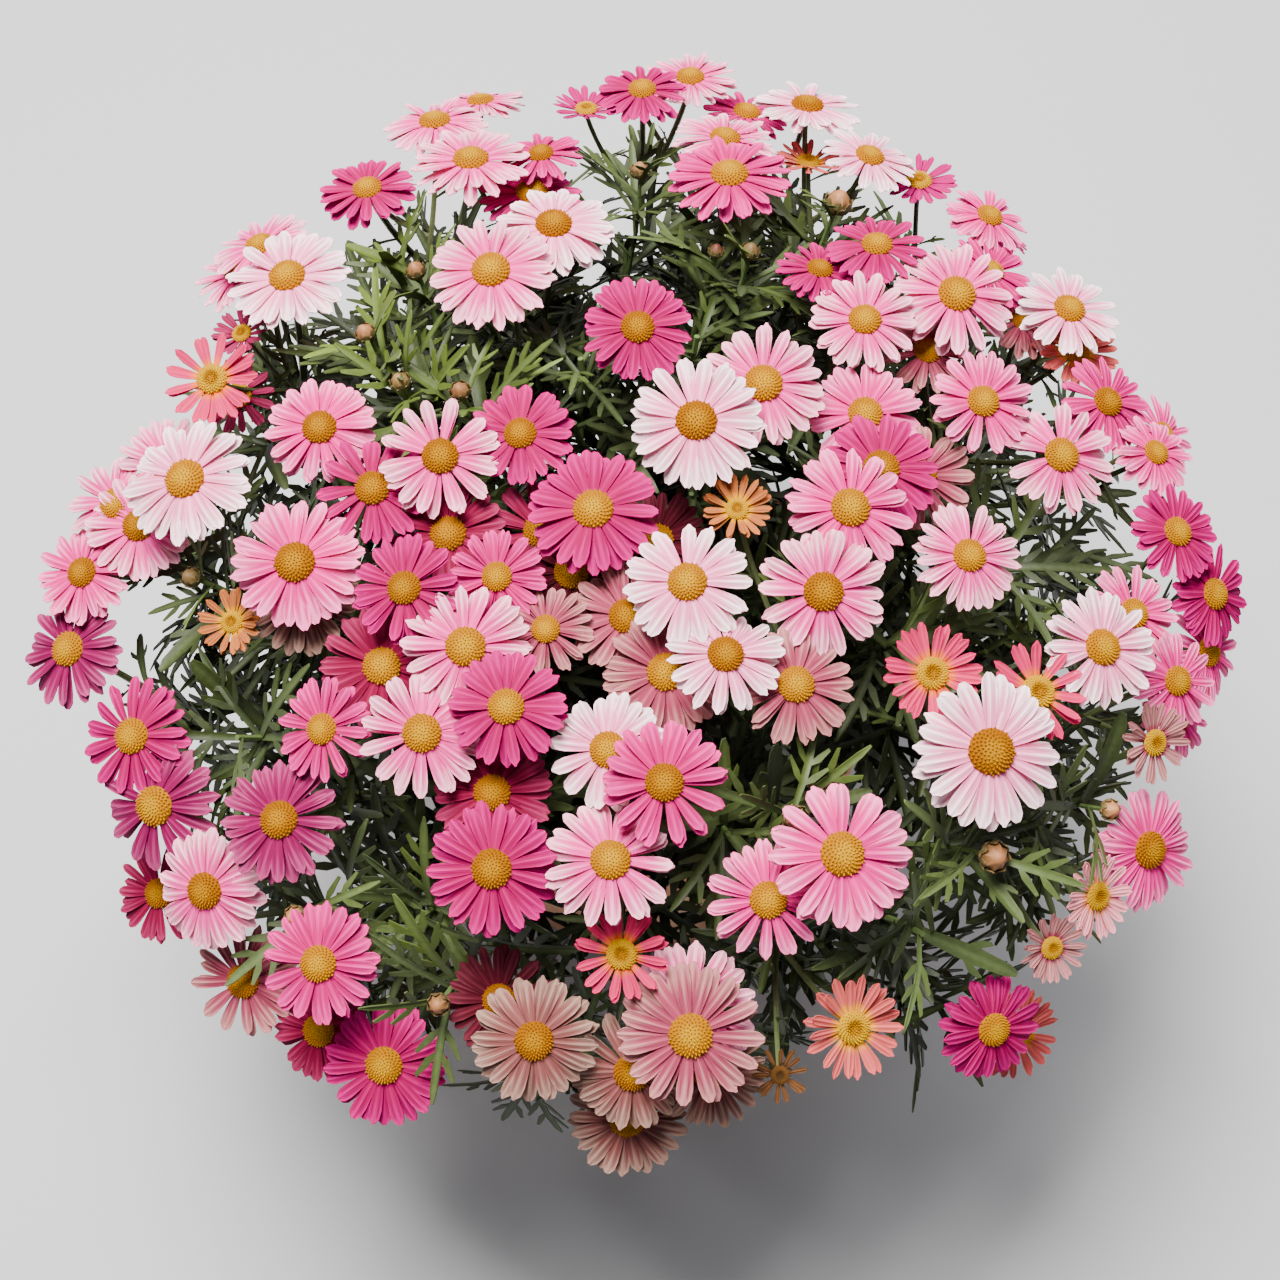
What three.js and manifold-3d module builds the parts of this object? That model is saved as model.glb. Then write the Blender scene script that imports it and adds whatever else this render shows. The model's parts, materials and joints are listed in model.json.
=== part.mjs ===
// Potted marguerite daisy: a clay pot of soil that carries one bushy plant, domed over with
// pink and white flowers. Millimetres, +Z up. The origin is the middle of the pot's flat base.
import * as THREE from 'three';
import { mergeVertices } from 'three/addons/utils/BufferGeometryUtils.js';
import Module from 'manifold-3d';

const wasm = await Module();
wasm.setup();

// Driving dimensions, in millimetres and radians where nothing else is said
const GAP = 0.3; // between pieces that rest against each other
const POT = { height: 190, rimRadius: 115, bandHeight: 36, footRadius: 80, wall: 9, floor: 12, sides: 24 };
const BAND = { draft: 3, step: 10, lip: 4 };
const DRAIN = { holes: 4, radius: 6, circle: 42, sides: 6 };
const SOIL = { top: 168, crown: 1, bump: 2.2, holeDepth: 36, sag: 3, rings: [84, 60, 34] };
const TRUNK = { radius: 9, topRadius: 6.5, top: 206, sides: 6 };
const LIMB = { rootRadius: 4, tipRadius: 3.2, sides: 3, stagger: 12, lowest: 20 };

// The flowers sit on a dome: its reach from the middle, the height of its shoulder, its rise above
// that, and the power that rounds it. Past its reach it falls away as a steep skirt.
const DOME = { reach: 262, shoulder: 262, rise: 148, power: 2.3, skirt: 1.2, steepest: 1.6 };

// Leafy stems stand in two rings round the trunk and divide into shoots at their tops.
const STEM_RINGS = [
  { count: 3, turn: 90, limbReach: 20, limbHeight: 240, reach: 66, height: 292 },
  { count: 8, turn: 22.5, limbReach: 62, limbHeight: 226, reach: 160, height: 246 },
];
const STEM = { rootRadius: 3, tipRadius: 2.4, sides: 4 };
const SHOOT = { rootRadius: 1.5, tipRadius: 1.7, sides: 3, straight: 0.4, nearest: 0.35, furthest: 0.96 };
const BUD = { belly: 0.7, tip: 1.8 };

// Where the leaves stand along each kind of shoot, and the share of the places that have one
const UNDER_BLOOMS = { whorls: [0.62], share: 0.56 };
const LEAFY_TIP = { whorls: [0.85], share: 0.8 };
const SKIRT_SHOOT = { whorls: [0.45, 0.92], share: 0.68 };

// A bunch's stalks part this deep under its blooms, each one a step higher than the one before
const FORK = { depth: 56, below: 7, step: 0.1, upright: 1.2, outward: 0.6 };
const STALK = { rootRadius: 1.8, sideRoot: 0.8, radius: 1.3, sides: 3 };

// A flower head, as shares of its width, and its petals
const HEAD = { disc: 0.155, discRise: 0.075, rim: 0.8, cup: 0.1, petal: 0.19, crown: 8, slope: 0.1 };
const BIG_HEAD = { width: 41, deepest: -9 };

// Blooms face out from the dome, more so to the east, and a little at random. They lean to the light
// from the south, and the ones furthest north lean back a little.
const FACING = { outward: 0.37, eastward: 0.2, eastEnd: 200, scatter: 0.24 };
const LIGHT = {
  lean: 0.23, northEnd: 95, northFade: 50, southEnd: -235, southFade: 90, backLean: 0.14, backFade: 50,
};

// Blooms that face further to the east and north than that, by number
const TILTS = new Map([
  [17, [-0.25, 0]], [22, [0.15, 0]], [24, [-0.2, 0]], [27, [0, 0.3]], [28, [0, 0.3]],
  [34, [0, 0.15]], [55, [0.1, 0]], [70, [0, 0.08]], [83, [0, 0.15]], [123, [0, 0.12]],
]);

// A petal bends, and at worst stays shorter, to keep clear of its neighbours
const PITCHES = [0, -0.22, 0.22, -0.44, 0.44, -0.7];
const LENGTHS = [1, 0.72];
const RUFFLE = 0.16;

// Leaves: outlines from root to tip, as shares of the length. Each row is one edge's points.
const FIVE_LOBED = {
  edge: [[0.42, 0.2, 0], [0.38, 0.055, 0], [0.78, 0.22, 1], [0.62, 0.065, 1]],
  ribs: [0.26, 0.52],
};
const THREE_LOBED = { edge: [[0.66, 0.22, 0], [0.5, 0.06, 0]], ribs: [0.36] };
const LEAF = { thickness: 1, root: 2, clear: 0.35, longest: 54, shortest: 36, fiveLobed: 49 };
const LEAF_TURNS = [0, 0.3, -0.3];

// Flower heads by bunch: mm east and north of the middle, lift off the dome, and width.
const BUNCHES = {
  hot: [
    [[-1, 30, 0, 44], [49, 3, 0, 50], [22, -19, 5, 53]],
    [[-18, -57, 2, 51], [-39, -53, -20, 46], [-27, -70, -22, 44], [7, -49, -34, 42]],
    [[95, -31, -4, 48], [91, 1, -14, 46], [113, -22, -20, 44]],
    [[-50, -135, 3, 45], [-56, -158, -15, 46], [-55, -190, 2, 49]],
    [[-237, -70, 0, 48], [-202, -119, 0, 47]],
    [[-138, -163, -3, 48], [-121, -134, -3, 40]],
    [[-123, -211, 2, 46], [-127, -223, -14, 42], [-158, -204, -5, 44], [-100, -239, 0, 48]],
    [[141, -220, 2, 44], [156, -210, -28, 38]],
    [[240, -46, 0, 43], [222, -29, -2, 41], [240, -62, -15, 43]],
    [[99, 80, 2, 42], [75, 71, -8, 36], [92, 41, -3, 44]],
    [[1, 184, 2, 40], [-24, 176, -5, 30], [23, 205, 0, 42]],
    [[-118, 124, 0, 41], [-92, 173, 0, 46]],
  ],
  pale: [
    [[18, -89, 5, 49], [-5, -94, -12, 46], [32, -116, 3, 45], [10, -115, -14, 48]],
    [[-36, -100, -9, 36], [-66, -110, 0, 50]],
    [[-100, -107, -16, 48], [-82, -141, 0, 48]],
    [[-12, -148, -5, 45], [9, -163, 3, 47], [-11, -188, 0, 49], [-7, -214, -12, 35]],
    [[19, -241, 2, 54], [19, -229, -16, 50], [27, -245, -20, 46]],
    [[-40, -241, 0, 48], [-54, -223, -24, 42], [-3, -248, -10, 46], [-5, -257, -18, 47]],
    [[162, -196, 0, 28], [181, -176, 0, 34], [206, -152, 0, 50]],
    [[133, -144, 6, 59], [112, -113, -6, 38]],
    [[181, -95, 4, 48], [200, -68, -12, 41]],
    [[215, 4, 0, 36], [195, 23, -3, 42], [228, 36, -20, 38]],
    [[182, 66, 2, 45], [165, 71, -20, 36], [187, 59, -16, 38]],
    [[100, 141, 2, 42], [75, 180, 2, 47], [76, 160, -22, 30]],
    [[-36, 87, 0, 50], [-61, 59, 4, 52]],
    [[-148, 72, 3, 51], [-169, 58, -12, 26], [-177, 26, 0, 39]],
    [[-165, 105, -3, 44], [-177, 103, -14, 40], [-171, 36, -28, 34]],
    [[-196, -2, -14, 46], [-183, -24, 4, 54]],
    [[-192, -145, -2, 52], [-196, -165, -14, 40], [-170, -179, 2, 48]],
    [[-76, 226, -10, 42], [-84, 229, -52, 42], [-173, 178, -50, 42], [-133, 208, -40, 46]],
    [[80, 233, -14, 44], [110, 212, -40, 42], [0, 235, -20, 44], [44, 228, -74, 42]],
  ],
  pink: [
    [[-47, -21, 0, 42], [-78, -32, 4, 47], [-105, -40, -2, 45], [-128, -10, 0, 45]],
    [[59, -122, -6, 46], [70, -88, 0, 50], [81, -55, 5, 50], [38, -48, -12, 28]],
    [[-75, -57, -12, 47], [-55, -80, -5, 38], [-90, -86, 2, 43]],
    [[48, -197, -8, 46], [75, -185, 5, 55], [54, -246, -12, 22], [81, -234, 0, 39]],
    [[128, -67, 0, 43], [154, -115, -3, 40]],
    [[217, -93, 0, 40], [222, -97, -16, 38], [206, -118, -4, 33]],
    [[138, 3, 2, 43], [120, 42, -20, 38], [170, -14, 0, 47]],
    [[131, 57, 3, 52], [150, 86, -8, 38]],
    [[152, 117, 0, 38], [123, 139, -6, 34]],
    [[49, 196, -16, 40], [37, 148, -2, 44], [38, 117, 2, 52]],
    [[-43, 140, -5, 36], [-47, 124, -16, 46], [-73, 132, 2, 50]],
    [[-218, -16, -5, 44], [-207, -27, -12, 46], [-231, -43, 0, 42]],
    [[-134, -70, 2, 52], [-161, -83, -10, 27], [-133, -75, -16, 46]],
    [[205, 141, -45, 42], [170, 190, -28, 44]],
  ],
};

// Green shoots that end in leaves or in a bud: mm east and north, depth under the dome, and bud size.
const GREEN_TIPS = [
  [-113, 46, 18, 5], [-94, 80, 20, 5], [-97, 20, 20, 5], [-72, 11, 18, 5], [0, 137, 20, 5],
  [32, 88, 22, 4], [46, 84, 18, 5], [84, 114, 14, 7], [134, -172, 12, 7], [186, -142, 20, 5],
  [-132, -190, 16, 5], [58, -166, 16, 6], [-181, -52, 26, 5], [-76, -224, 14, 5],
  [-105, 92, 26, 0], [-25, 40, 34, 0], [24, 52, 34, 0], [70, 96, 34, 0],
  [104, -88, 32, 0], [152, -44, 34, 0], [-162, -116, 36, 0], [-86, -192, 34, 0],
  [34, -165, 36, 0], [110, -196, 28, 0], [160, -150, 34, 0],
];

// Low leafy shoots that spread over the pot's rim: turn from east in degrees, reach and height
const SKIRT = [
  [8, 205, 214], [34, 212, 222], [58, 206, 210], [83, 214, 218], [112, 204, 208], [140, 214, 222],
  [166, 206, 212], [192, 214, 218], [216, 204, 208], [238, 216, 216], [257, 214, 178], [282, 208, 212],
  [305, 214, 220], [331, 206, 210],
];

// Seeded draw from 0 to 1
function draw(item, purpose) {
  const wave = Math.sin(item * 12.9898 + purpose * 78.233) * 43758.5453;
  return wave - Math.floor(wave);
}

const UP = new THREE.Vector3(0, 0, 1);

function clamp01(value) {
  return Math.min(1, Math.max(0, value));
}

function domeHeight(radius) {
  const inside = Math.max(0, 1 - (radius / DOME.reach) ** DOME.power) ** (1 / DOME.power);
  return DOME.shoulder + DOME.rise * inside - DOME.skirt * Math.max(0, radius - DOME.reach);
}

function domeSlope(radius) {
  const step = 1;
  const fall = (domeHeight(radius) - domeHeight(radius + step)) / step;
  return Math.min(DOME.steepest, fall);
}

function onDome(east, north, lift) {
  return new THREE.Vector3(east, north, domeHeight(Math.hypot(east, north)) + lift);
}

// Closed triangle mesh that is built face by face
class Skin {
  constructor() {
    this.points = [];
    this.faces = [];
  }

  add(point) {
    this.points.push(point);
    return this.points.length - 1;
  }

  face(a, b, c) {
    this.faces.push(a, b, c);
  }

  solid() {
    const vertProperties = new Float32Array(this.points.flatMap((p) => [p.x, p.y, p.z]));
    const triVerts = new Uint32Array(this.faces);
    return new wasm.Manifold(new wasm.Mesh({ numProp: 3, vertProperties, triVerts }));
  }

  box() {
    return new THREE.Box3().setFromPoints(this.points);
  }
}

function solidOf(geometry) {
  const bare = geometry.clone();
  bare.deleteAttribute('normal');
  bare.deleteAttribute('uv');
  const merged = mergeVertices(bare, 1e-4);
  const vertProperties = new Float32Array(merged.attributes.position.array);
  const triVerts = new Uint32Array(merged.index.array);
  return new wasm.Manifold(new wasm.Mesh({ numProp: 3, vertProperties, triVerts }));
}

function geometryOf(solid) {
  const { vertProperties, triVerts } = solid.getMesh();
  const geometry = new THREE.BufferGeometry();
  geometry.setAttribute('position', new THREE.BufferAttribute(vertProperties, 3));
  geometry.setIndex(new THREE.BufferAttribute(triVerts, 1));
  geometry.computeVertexNormals();
  return geometry;
}

// Everything placed so far, so that what grows next can keep clear of it
const placed = [];

function place(owner, skin) {
  placed.push({ owner, solid: skin.solid(), box: skin.box() });
}

function placeGeometry(owner, geometry) {
  const box = new THREE.Box3().setFromBufferAttribute(geometry.attributes.position);
  placed.push({ owner, solid: solidOf(geometry), box });
}

function isClear(skin, owner) {
  const box = skin.box();
  const near = placed.filter((other) => other.owner !== owner && other.box.intersectsBox(box));
  if (near.length === 0) return true;
  const solid = skin.solid();
  return near.every((other) => solid.intersect(other.solid).isEmpty());
}

// Sections of a stem along a curve, each turned as little as possible from the one before
function sections(curve, stations) {
  const isUpright = Math.abs(curve.getTangent(stations[0]).z) >= 0.9;
  let across = isUpright ? new THREE.Vector3(1, 0, 0) : UP;
  return stations.map((station) => {
    const along = curve.getTangent(station).normalize();
    across = across.clone().addScaledVector(along, -across.dot(along)).normalize();
    return { centre: curve.getPoint(station), along, across, over: along.clone().cross(across) };
  });
}

function ring(skin, section, radius, sides) {
  const points = [];
  for (let i = 0; i < sides; i += 1) {
    const turn = (2 * Math.PI * i) / sides;
    const point = section.centre.clone()
      .addScaledVector(section.across, radius * Math.cos(turn))
      .addScaledVector(section.over, radius * Math.sin(turn));
    points.push(skin.add(point));
  }
  return points;
}

// Joins two rings of a stem. A leaf stands where growLeaf draws one on the side that it is given.
function joinRings(skin, low, high, growLeaf = () => false) {
  low.forEach((lowA, side) => {
    const next = (side + 1) % low.length;
    const corners = { lowA, lowB: low[next], highA: high[side], highB: high[next] };
    if (growLeaf(corners, side)) return;
    skin.face(corners.highA, corners.lowA, corners.lowB);
    skin.face(corners.highA, corners.lowB, corners.highB);
  });
}

function capRoot(skin, low) {
  for (let i = 1; i < low.length - 1; i += 1) skin.face(low[0], low[i + 1], low[i]);
}

function capTip(skin, high) {
  for (let i = 1; i < high.length - 1; i += 1) skin.face(high[0], high[i], high[i + 1]);
}

// Plain tapered stem along a curve
function stemSkin(curve, stations, startRadius, endRadius, sides) {
  const skin = new Skin();
  const rings = sections(curve, stations).map((section, i) => {
    const share = stations[i];
    return ring(skin, section, startRadius + (endRadius - startRadius) * share, sides);
  });
  rings.slice(1).forEach((high, i) => joinRings(skin, rings[i], high));
  capRoot(skin, rings[0]);
  capTip(skin, rings[rings.length - 1]);
  return skin;
}

// Arched, lobed blade that grows out of one side of a stem and closes on itself
function growBlade(skin, corners, blade, extra = 0) {
  const corner = (name) => skin.points[corners[name]];
  const base = new THREE.Vector3();
  ['lowA', 'lowB', 'highA', 'highB'].forEach((name) => base.addScaledVector(corner(name), 0.25));
  const side = corner('highB').clone().sub(corner('highA')).normalize();
  const rise = corner('highA').clone().sub(corner('lowA'));
  rise.addScaledVector(side, -rise.dot(side)).normalize();
  const out = side.clone().cross(rise);
  const dir = out.clone().multiplyScalar(Math.cos(blade.lift)).addScaledVector(rise, Math.sin(blade.lift));
  const top = dir.clone().cross(side);
  const at = (along, acrossShare, height) => {
    const length = blade.length * along + extra * along;
    const across = blade.length * acrossShare + Math.sign(acrossShare) * extra;
    const bend = -blade.arch * along * along * blade.length + blade.cup * Math.abs(across);
    return base.clone().addScaledVector(dir, length).addScaledVector(side, across)
      .addScaledVector(top, bend + height);
  };
  const { edge, ribs } = blade.shape;
  const thick = LEAF.thickness / 2 + extra;
  const left = edge.map(([along, across, rib]) => ({ id: skin.add(at(along, -across, 0)), rib }));
  const tip = { id: skin.add(at(1, 0, 0)), rib: ribs.length - 1 };
  const right = edge.map(([along, across, rib]) => ({ id: skin.add(at(along, across, 0)), rib }));
  const outline = [...left, tip, ...right.reverse()];
  const ribTop = ribs.map((along) => skin.add(at(along, 0, thick)));
  const ribLow = ribs.map((along) => skin.add(at(along, 0, -thick)));
  outline.slice(1).forEach((next, i) => {
    const here = outline[i];
    skin.face(here.id, next.id, ribTop[here.rib]);
    skin.face(next.id, here.id, ribLow[here.rib]);
    if (here.rib === next.rib) return;
    skin.face(next.id, ribTop[next.rib], ribTop[here.rib]);
    skin.face(ribLow[next.rib], next.id, ribLow[here.rib]);
  });
  const first = outline[0].id;
  const last = outline[outline.length - 1].id;
  skin.face(corners.highB, corners.highA, ribTop[0]);
  skin.face(corners.highA, first, ribTop[0]);
  skin.face(last, corners.highB, ribTop[0]);
  skin.face(corners.lowA, corners.lowB, ribLow[0]);
  skin.face(first, corners.lowA, ribLow[0]);
  skin.face(corners.lowB, last, ribLow[0]);
  skin.face(corners.highA, corners.lowA, first);
  skin.face(corners.lowB, corners.highB, last);
}

// The same blade alone, closed at its root
function bladeSkin(stem, corners, blade, extra) {
  const skin = new Skin();
  const copy = {};
  ['lowA', 'lowB', 'highA', 'highB'].forEach((name) => {
    copy[name] = skin.add(stem.points[corners[name]].clone());
  });
  growBlade(skin, copy, blade, extra);
  skin.face(copy.highA, copy.lowB, copy.lowA);
  skin.face(copy.highA, copy.highB, copy.lowB);
  return skin;
}

// Flower head: where it is, which way it faces, and the petals that found room
class Head {
  constructor(number, [east, north, lift, width]) {
    this.number = number;
    this.width = width;
    this.centre = onDome(east, north, lift);
    this.petals = HEAD.crown - (width < BIG_HEAD.width ? 1 : 0) - (lift < BIG_HEAD.deepest ? 2 : 0);
    const radius = Math.max(1, Math.hypot(east, north));
    const lean = LIGHT.lean
      * clamp01((LIGHT.northEnd - north) / LIGHT.northFade)
      * clamp01((north - LIGHT.southEnd) / LIGHT.southFade)
      - LIGHT.backLean * clamp01((north - LIGHT.northEnd) / LIGHT.backFade);
    const outward = FACING.outward + FACING.eastward * clamp01(east / FACING.eastEnd);
    const spread = (outward * domeSlope(radius)) / radius;
    const tilt = TILTS.get(number) ?? [0, 0];
    this.facing = new THREE.Vector3(
      east * spread + tilt[0] + FACING.scatter * (draw(number, 1) - 0.5),
      north * spread + tilt[1] - lean + FACING.scatter * (draw(number, 2) - 0.5),
      1,
    ).normalize();
    this.right = new THREE.Vector3(1, 0, 0).addScaledVector(this.facing, -this.facing.x).normalize();
    this.left = this.facing.clone().cross(this.right);
    this.spin = 2 * Math.PI * draw(number, 3);
    this.discRadius = HEAD.disc * width;
    this.cupDepth = HEAD.cup * width;
    this.bends = new Array(this.petals).fill(null);
  }

  at(radius, turn, height) {
    return this.centre.clone()
      .addScaledVector(this.right, radius * Math.cos(turn + this.spin))
      .addScaledVector(this.left, radius * Math.sin(turn + this.spin))
      .addScaledVector(this.facing, height);
  }

  turnOf(point) {
    const offset = point.clone().sub(this.centre);
    return Math.atan2(offset.dot(this.left), offset.dot(this.right));
  }

  // Two corners of a petal's blunt tip
  tips(petal, bend, extra = 0) {
    const middle = (2 * Math.PI * (petal + 0.5)) / this.petals;
    const reach = (this.width / 2 - this.discRadius) * bend.length + extra;
    const half = (HEAD.petal * this.width) / 2 + extra;
    const radius = this.discRadius + reach * Math.cos(bend.pitch);
    const height = HEAD.rim / 2 + reach * Math.sin(bend.pitch);
    const turn = Math.atan2(half, radius);
    return [this.at(radius, middle - turn, height), this.at(radius, middle + turn, height)];
  }

  restingPitch(petal) {
    const layer = petal % 2 === 0 ? HEAD.slope : -HEAD.slope;
    return layer + RUFFLE * (draw(this.number, 10 + petal) - 0.5);
  }

  // One petal alone, for finding room
  petalSkin(petal, bend, extra) {
    const skin = new Skin();
    const edge = [petal, petal + 1].map((boundary) => {
      const turn = (2 * Math.PI * boundary) / this.petals;
      const high = skin.add(this.at(this.discRadius, turn, HEAD.rim + extra));
      const low = skin.add(this.at(this.discRadius, turn, -HEAD.rim - extra));
      return { high, low };
    });
    const [tipA, tipB] = this.tips(petal, bend, extra).map((point) => skin.add(point));
    petalFaces(skin, edge[0], edge[1], tipA, tipB);
    skin.face(edge[0].low, edge[0].high, edge[1].high);
    skin.face(edge[0].low, edge[1].high, edge[1].low);
    return skin;
  }

  // The whole head on its stalk, from the stalk's root to the petals' tips
  skin(root, rootRadius) {
    const skin = new Skin();
    const edge = this.bends.map((_, boundary) => {
      const turn = (2 * Math.PI * boundary) / this.petals;
      const high = skin.add(this.at(this.discRadius, turn, HEAD.rim));
      const low = skin.add(this.at(this.discRadius, turn, -HEAD.rim));
      return { high, low };
    });
    const crest = skin.add(this.at(0, 0, HEAD.rim + HEAD.discRise * this.width));
    edge.forEach((here, petal) => {
      const next = edge[(petal + 1) % this.petals];
      skin.face(crest, here.high, next.high);
      const bend = this.bends[petal];
      if (bend) {
        const [tipA, tipB] = this.tips(petal, bend).map((point) => skin.add(point));
        petalFaces(skin, here, next, tipA, tipB);
      } else {
        skin.face(here.high, here.low, next.low);
        skin.face(here.high, next.low, next.high);
      }
    });
    const [low, high] = sections(new THREE.LineCurve3(root, this.neck()), [0, 1]);
    const rings = [ring(skin, low, rootRadius, STALK.sides), ring(skin, high, STALK.radius, STALK.sides)];
    capRoot(skin, rings[0]);
    joinRings(skin, rings[0], rings[1]);
    this.cupFaces(skin, edge.map((corner) => corner.low), rings[1]);
    return skin;
  }

  neck() {
    return this.centre.clone().addScaledVector(this.facing, -this.cupDepth);
  }

  // Closes the green cup between the petals' roots and the stalk
  cupFaces(skin, rim, neck) {
    const full = 2 * Math.PI;
    const wrap = (turn) => ((turn % full) + full) % full;
    const from = this.turnOf(skin.points[rim[0]]);
    const order = neck.map((id) => ({ id, turn: wrap(this.turnOf(skin.points[id]) - from) }));
    order.sort((a, b) => a.turn - b.turn);
    let used = 0;
    for (let i = 0; i < rim.length; i += 1) {
      const next = rim[(i + 1) % rim.length];
      skin.face(rim[i], order[used % 3].id, next);
      const reached = (full * (i + 1)) / rim.length;
      while (used < 3 && order[used].turn < reached - full / rim.length / 2) {
        skin.face(next, order[used].id, order[(used + 1) % 3].id);
        used += 1;
      }
    }
    for (; used < 3; used += 1) skin.face(rim[0], order[used].id, order[(used + 1) % 3].id);
  }
}

// A petal is thick at the disc and thin at its blunt tip
function petalFaces(skin, here, next, tipA, tipB) {
  skin.face(here.high, tipA, tipB);
  skin.face(here.high, tipB, next.high);
  skin.face(here.low, tipB, tipA);
  skin.face(here.low, next.low, tipB);
  skin.face(next.high, tipB, next.low);
  skin.face(here.high, here.low, tipA);
}

// Lathed skin without normals or texture coordinates, so that equal points can be merged
function lathe(outline) {
  const points = outline.map(([radius, z]) => new THREE.Vector2(radius, z));
  const geometry = new THREE.LatheGeometry(points, POT.sides).rotateX(Math.PI / 2);
  geometry.deleteAttribute('normal');
  geometry.deleteAttribute('uv');
  return mergeVertices(geometry, 1e-4);
}

function potSolid() {
  const { height, rimRadius, bandHeight, footRadius, wall, floor } = POT;
  const neck = rimRadius - BAND.step;
  const inner = rimRadius - wall - BAND.draft;
  const bandFoot = height - bandHeight;
  let pot = solidOf(lathe([
    [0, 0], [footRadius, 0], [neck, bandFoot - BAND.draft], [rimRadius - BAND.draft, bandFoot],
    [rimRadius, height], [inner + 1, height], [inner, height - BAND.lip],
    [neck - wall, bandFoot - BAND.draft], [footRadius - wall, floor], [0, floor],
  ]));
  for (let i = 0; i < DRAIN.holes; i += 1) {
    const turn = (2 * Math.PI * (i + 0.5)) / DRAIN.holes;
    const hole = new THREE.CylinderGeometry(DRAIN.radius, DRAIN.radius, 3 * floor, DRAIN.sides);
    hole.rotateX(Math.PI / 2);
    hole.translate(DRAIN.circle * Math.cos(turn), DRAIN.circle * Math.sin(turn), 0);
    pot = pot.subtract(solidOf(hole));
  }
  return pot;
}

// Soil fills the pot to just under its rim, with a hole where the plant's trunk stands
function soilGeometry() {
  const { height, rimRadius, bandHeight, footRadius, wall, floor } = POT;
  const neckHeight = height - bandHeight - BAND.draft;
  const neck = rimRadius - BAND.step - wall;
  const share = (SOIL.top - neckHeight) / (height - BAND.lip - neckHeight);
  const topRadius = neck + (rimRadius - wall - BAND.draft - neck) * share;
  const hole = TRUNK.radius + GAP;
  const soil = lathe([
    [0, floor + GAP], [footRadius - wall - 2 * GAP, floor + GAP], [neck - 2 * GAP, neckHeight],
    [topRadius - 2 * GAP, SOIL.top - SOIL.sag],
    ...SOIL.rings.map((radius) => [radius, SOIL.top + SOIL.crown]),
    [hole, SOIL.top], [hole, SOIL.top - SOIL.holeDepth], [0, SOIL.top - SOIL.holeDepth],
  ]);
  const spots = soil.attributes.position;
  for (let i = 0; i < spots.count; i += 1) {
    const [x, y, z] = [spots.getX(i), spots.getY(i), spots.getZ(i)];
    if (z > SOIL.top + SOIL.crown / 2) {
      spots.setZ(i, z + SOIL.bump * Math.sin(x * 0.21 + 1) * Math.cos(y * 0.17 - x * 0.05));
    }
  }
  return geometryOf(solidOf(soil));
}

// Stems: where each limb ends, and where each leafy stem divides
function stemPlaces() {
  return STEM_RINGS.flatMap((row) => Array.from({ length: row.count }, (_, i) => {
    const turn = THREE.MathUtils.degToRad(row.turn + (360 * i) / row.count);
    const [east, north] = [Math.cos(turn), Math.sin(turn)];
    return {
      limb: new THREE.Vector3(east * row.limbReach, north * row.limbReach, row.limbHeight),
      top: new THREE.Vector3(east * row.reach, north * row.reach, row.height),
    };
  }));
}

function limbCurve(stem, index) {
  const root = new THREE.Vector3(0, 0, TRUNK.top - LIMB.lowest + LIMB.stagger * (index % 2));
  const bend = root.clone().lerp(stem.limb, 0.5);
  bend.z = root.z + 2;
  return new THREE.QuadraticBezierCurve3(root, bend, stem.limb);
}

function mainCurve(stem, index) {
  const along = limbCurve(stem, index).getTangent(1);
  const start = stem.limb.clone().addScaledVector(along, GAP);
  const bend = start.clone().addScaledVector(along, 0.4 * start.distanceTo(stem.top));
  return new THREE.QuadraticBezierCurve3(start, bend, stem.top);
}

// A place in the middle of a leafy stem, which has one bend half way up
function onStem(stem, share) {
  const [low, middle, high] = [0, 0.5, 1].map((station) => stem.curve.getPoint(station));
  return share < 0.5 ? low.lerp(middle, 2 * share) : middle.lerp(high, 2 * share - 1);
}

// A shoot leaves its stem part way along and ends in line with what it carries
function shootCurve(shoot) {
  const from = onStem(shoot.stem, shoot.share);
  const bend = shoot.to.clone().addScaledVector(shoot.facing, -SHOOT.straight * from.distanceTo(shoot.to));
  return new THREE.QuadraticBezierCurve3(from, bend, shoot.to);
}

function woodyBase(stems) {
  const foot = new THREE.Vector3(0, 0, SOIL.top - SOIL.holeDepth + GAP);
  const crown = new THREE.Vector3(0, 0, TRUNK.top);
  const trunkCurve = new THREE.LineCurve3(foot, crown);
  const parts = [stemSkin(trunkCurve, [0, 0.7, 1], TRUNK.radius, TRUNK.topRadius, TRUNK.sides)];
  stems.forEach((stem, index) => {
    const curve = limbCurve(stem, index);
    parts.push(stemSkin(curve, [0, 0.6, 1], LIMB.rootRadius, LIMB.tipRadius, LIMB.sides));
  });
  parts.forEach((part) => place('woody_base', part));
  return parts.map((part) => part.solid()).reduce((whole, part) => whole.add(part));
}

// The bunches, with the fork that each one's stalks leave
function gatherBunches() {
  let number = 0;
  return Object.entries(BUNCHES).flatMap(([colour, rows]) => rows.map((row) => {
    const heads = row.map((entry) => {
      number += 1;
      return new Head(number, entry);
    });
    const middle = new THREE.Vector3();
    const facing = new THREE.Vector3();
    heads.forEach((head) => {
      middle.addScaledVector(head.centre, 1 / heads.length);
      facing.add(head.facing);
    });
    const outward = new THREE.Vector3(middle.x, middle.y, 0).multiplyScalar(1 / DOME.reach);
    facing.normalize().multiplyScalar(FORK.upright).add(UP);
    facing.addScaledVector(outward, FORK.outward).normalize();
    const fork = middle.clone().addScaledVector(facing, -FORK.depth);
    return { colour, heads, fork, facing };
  }));
}

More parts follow.
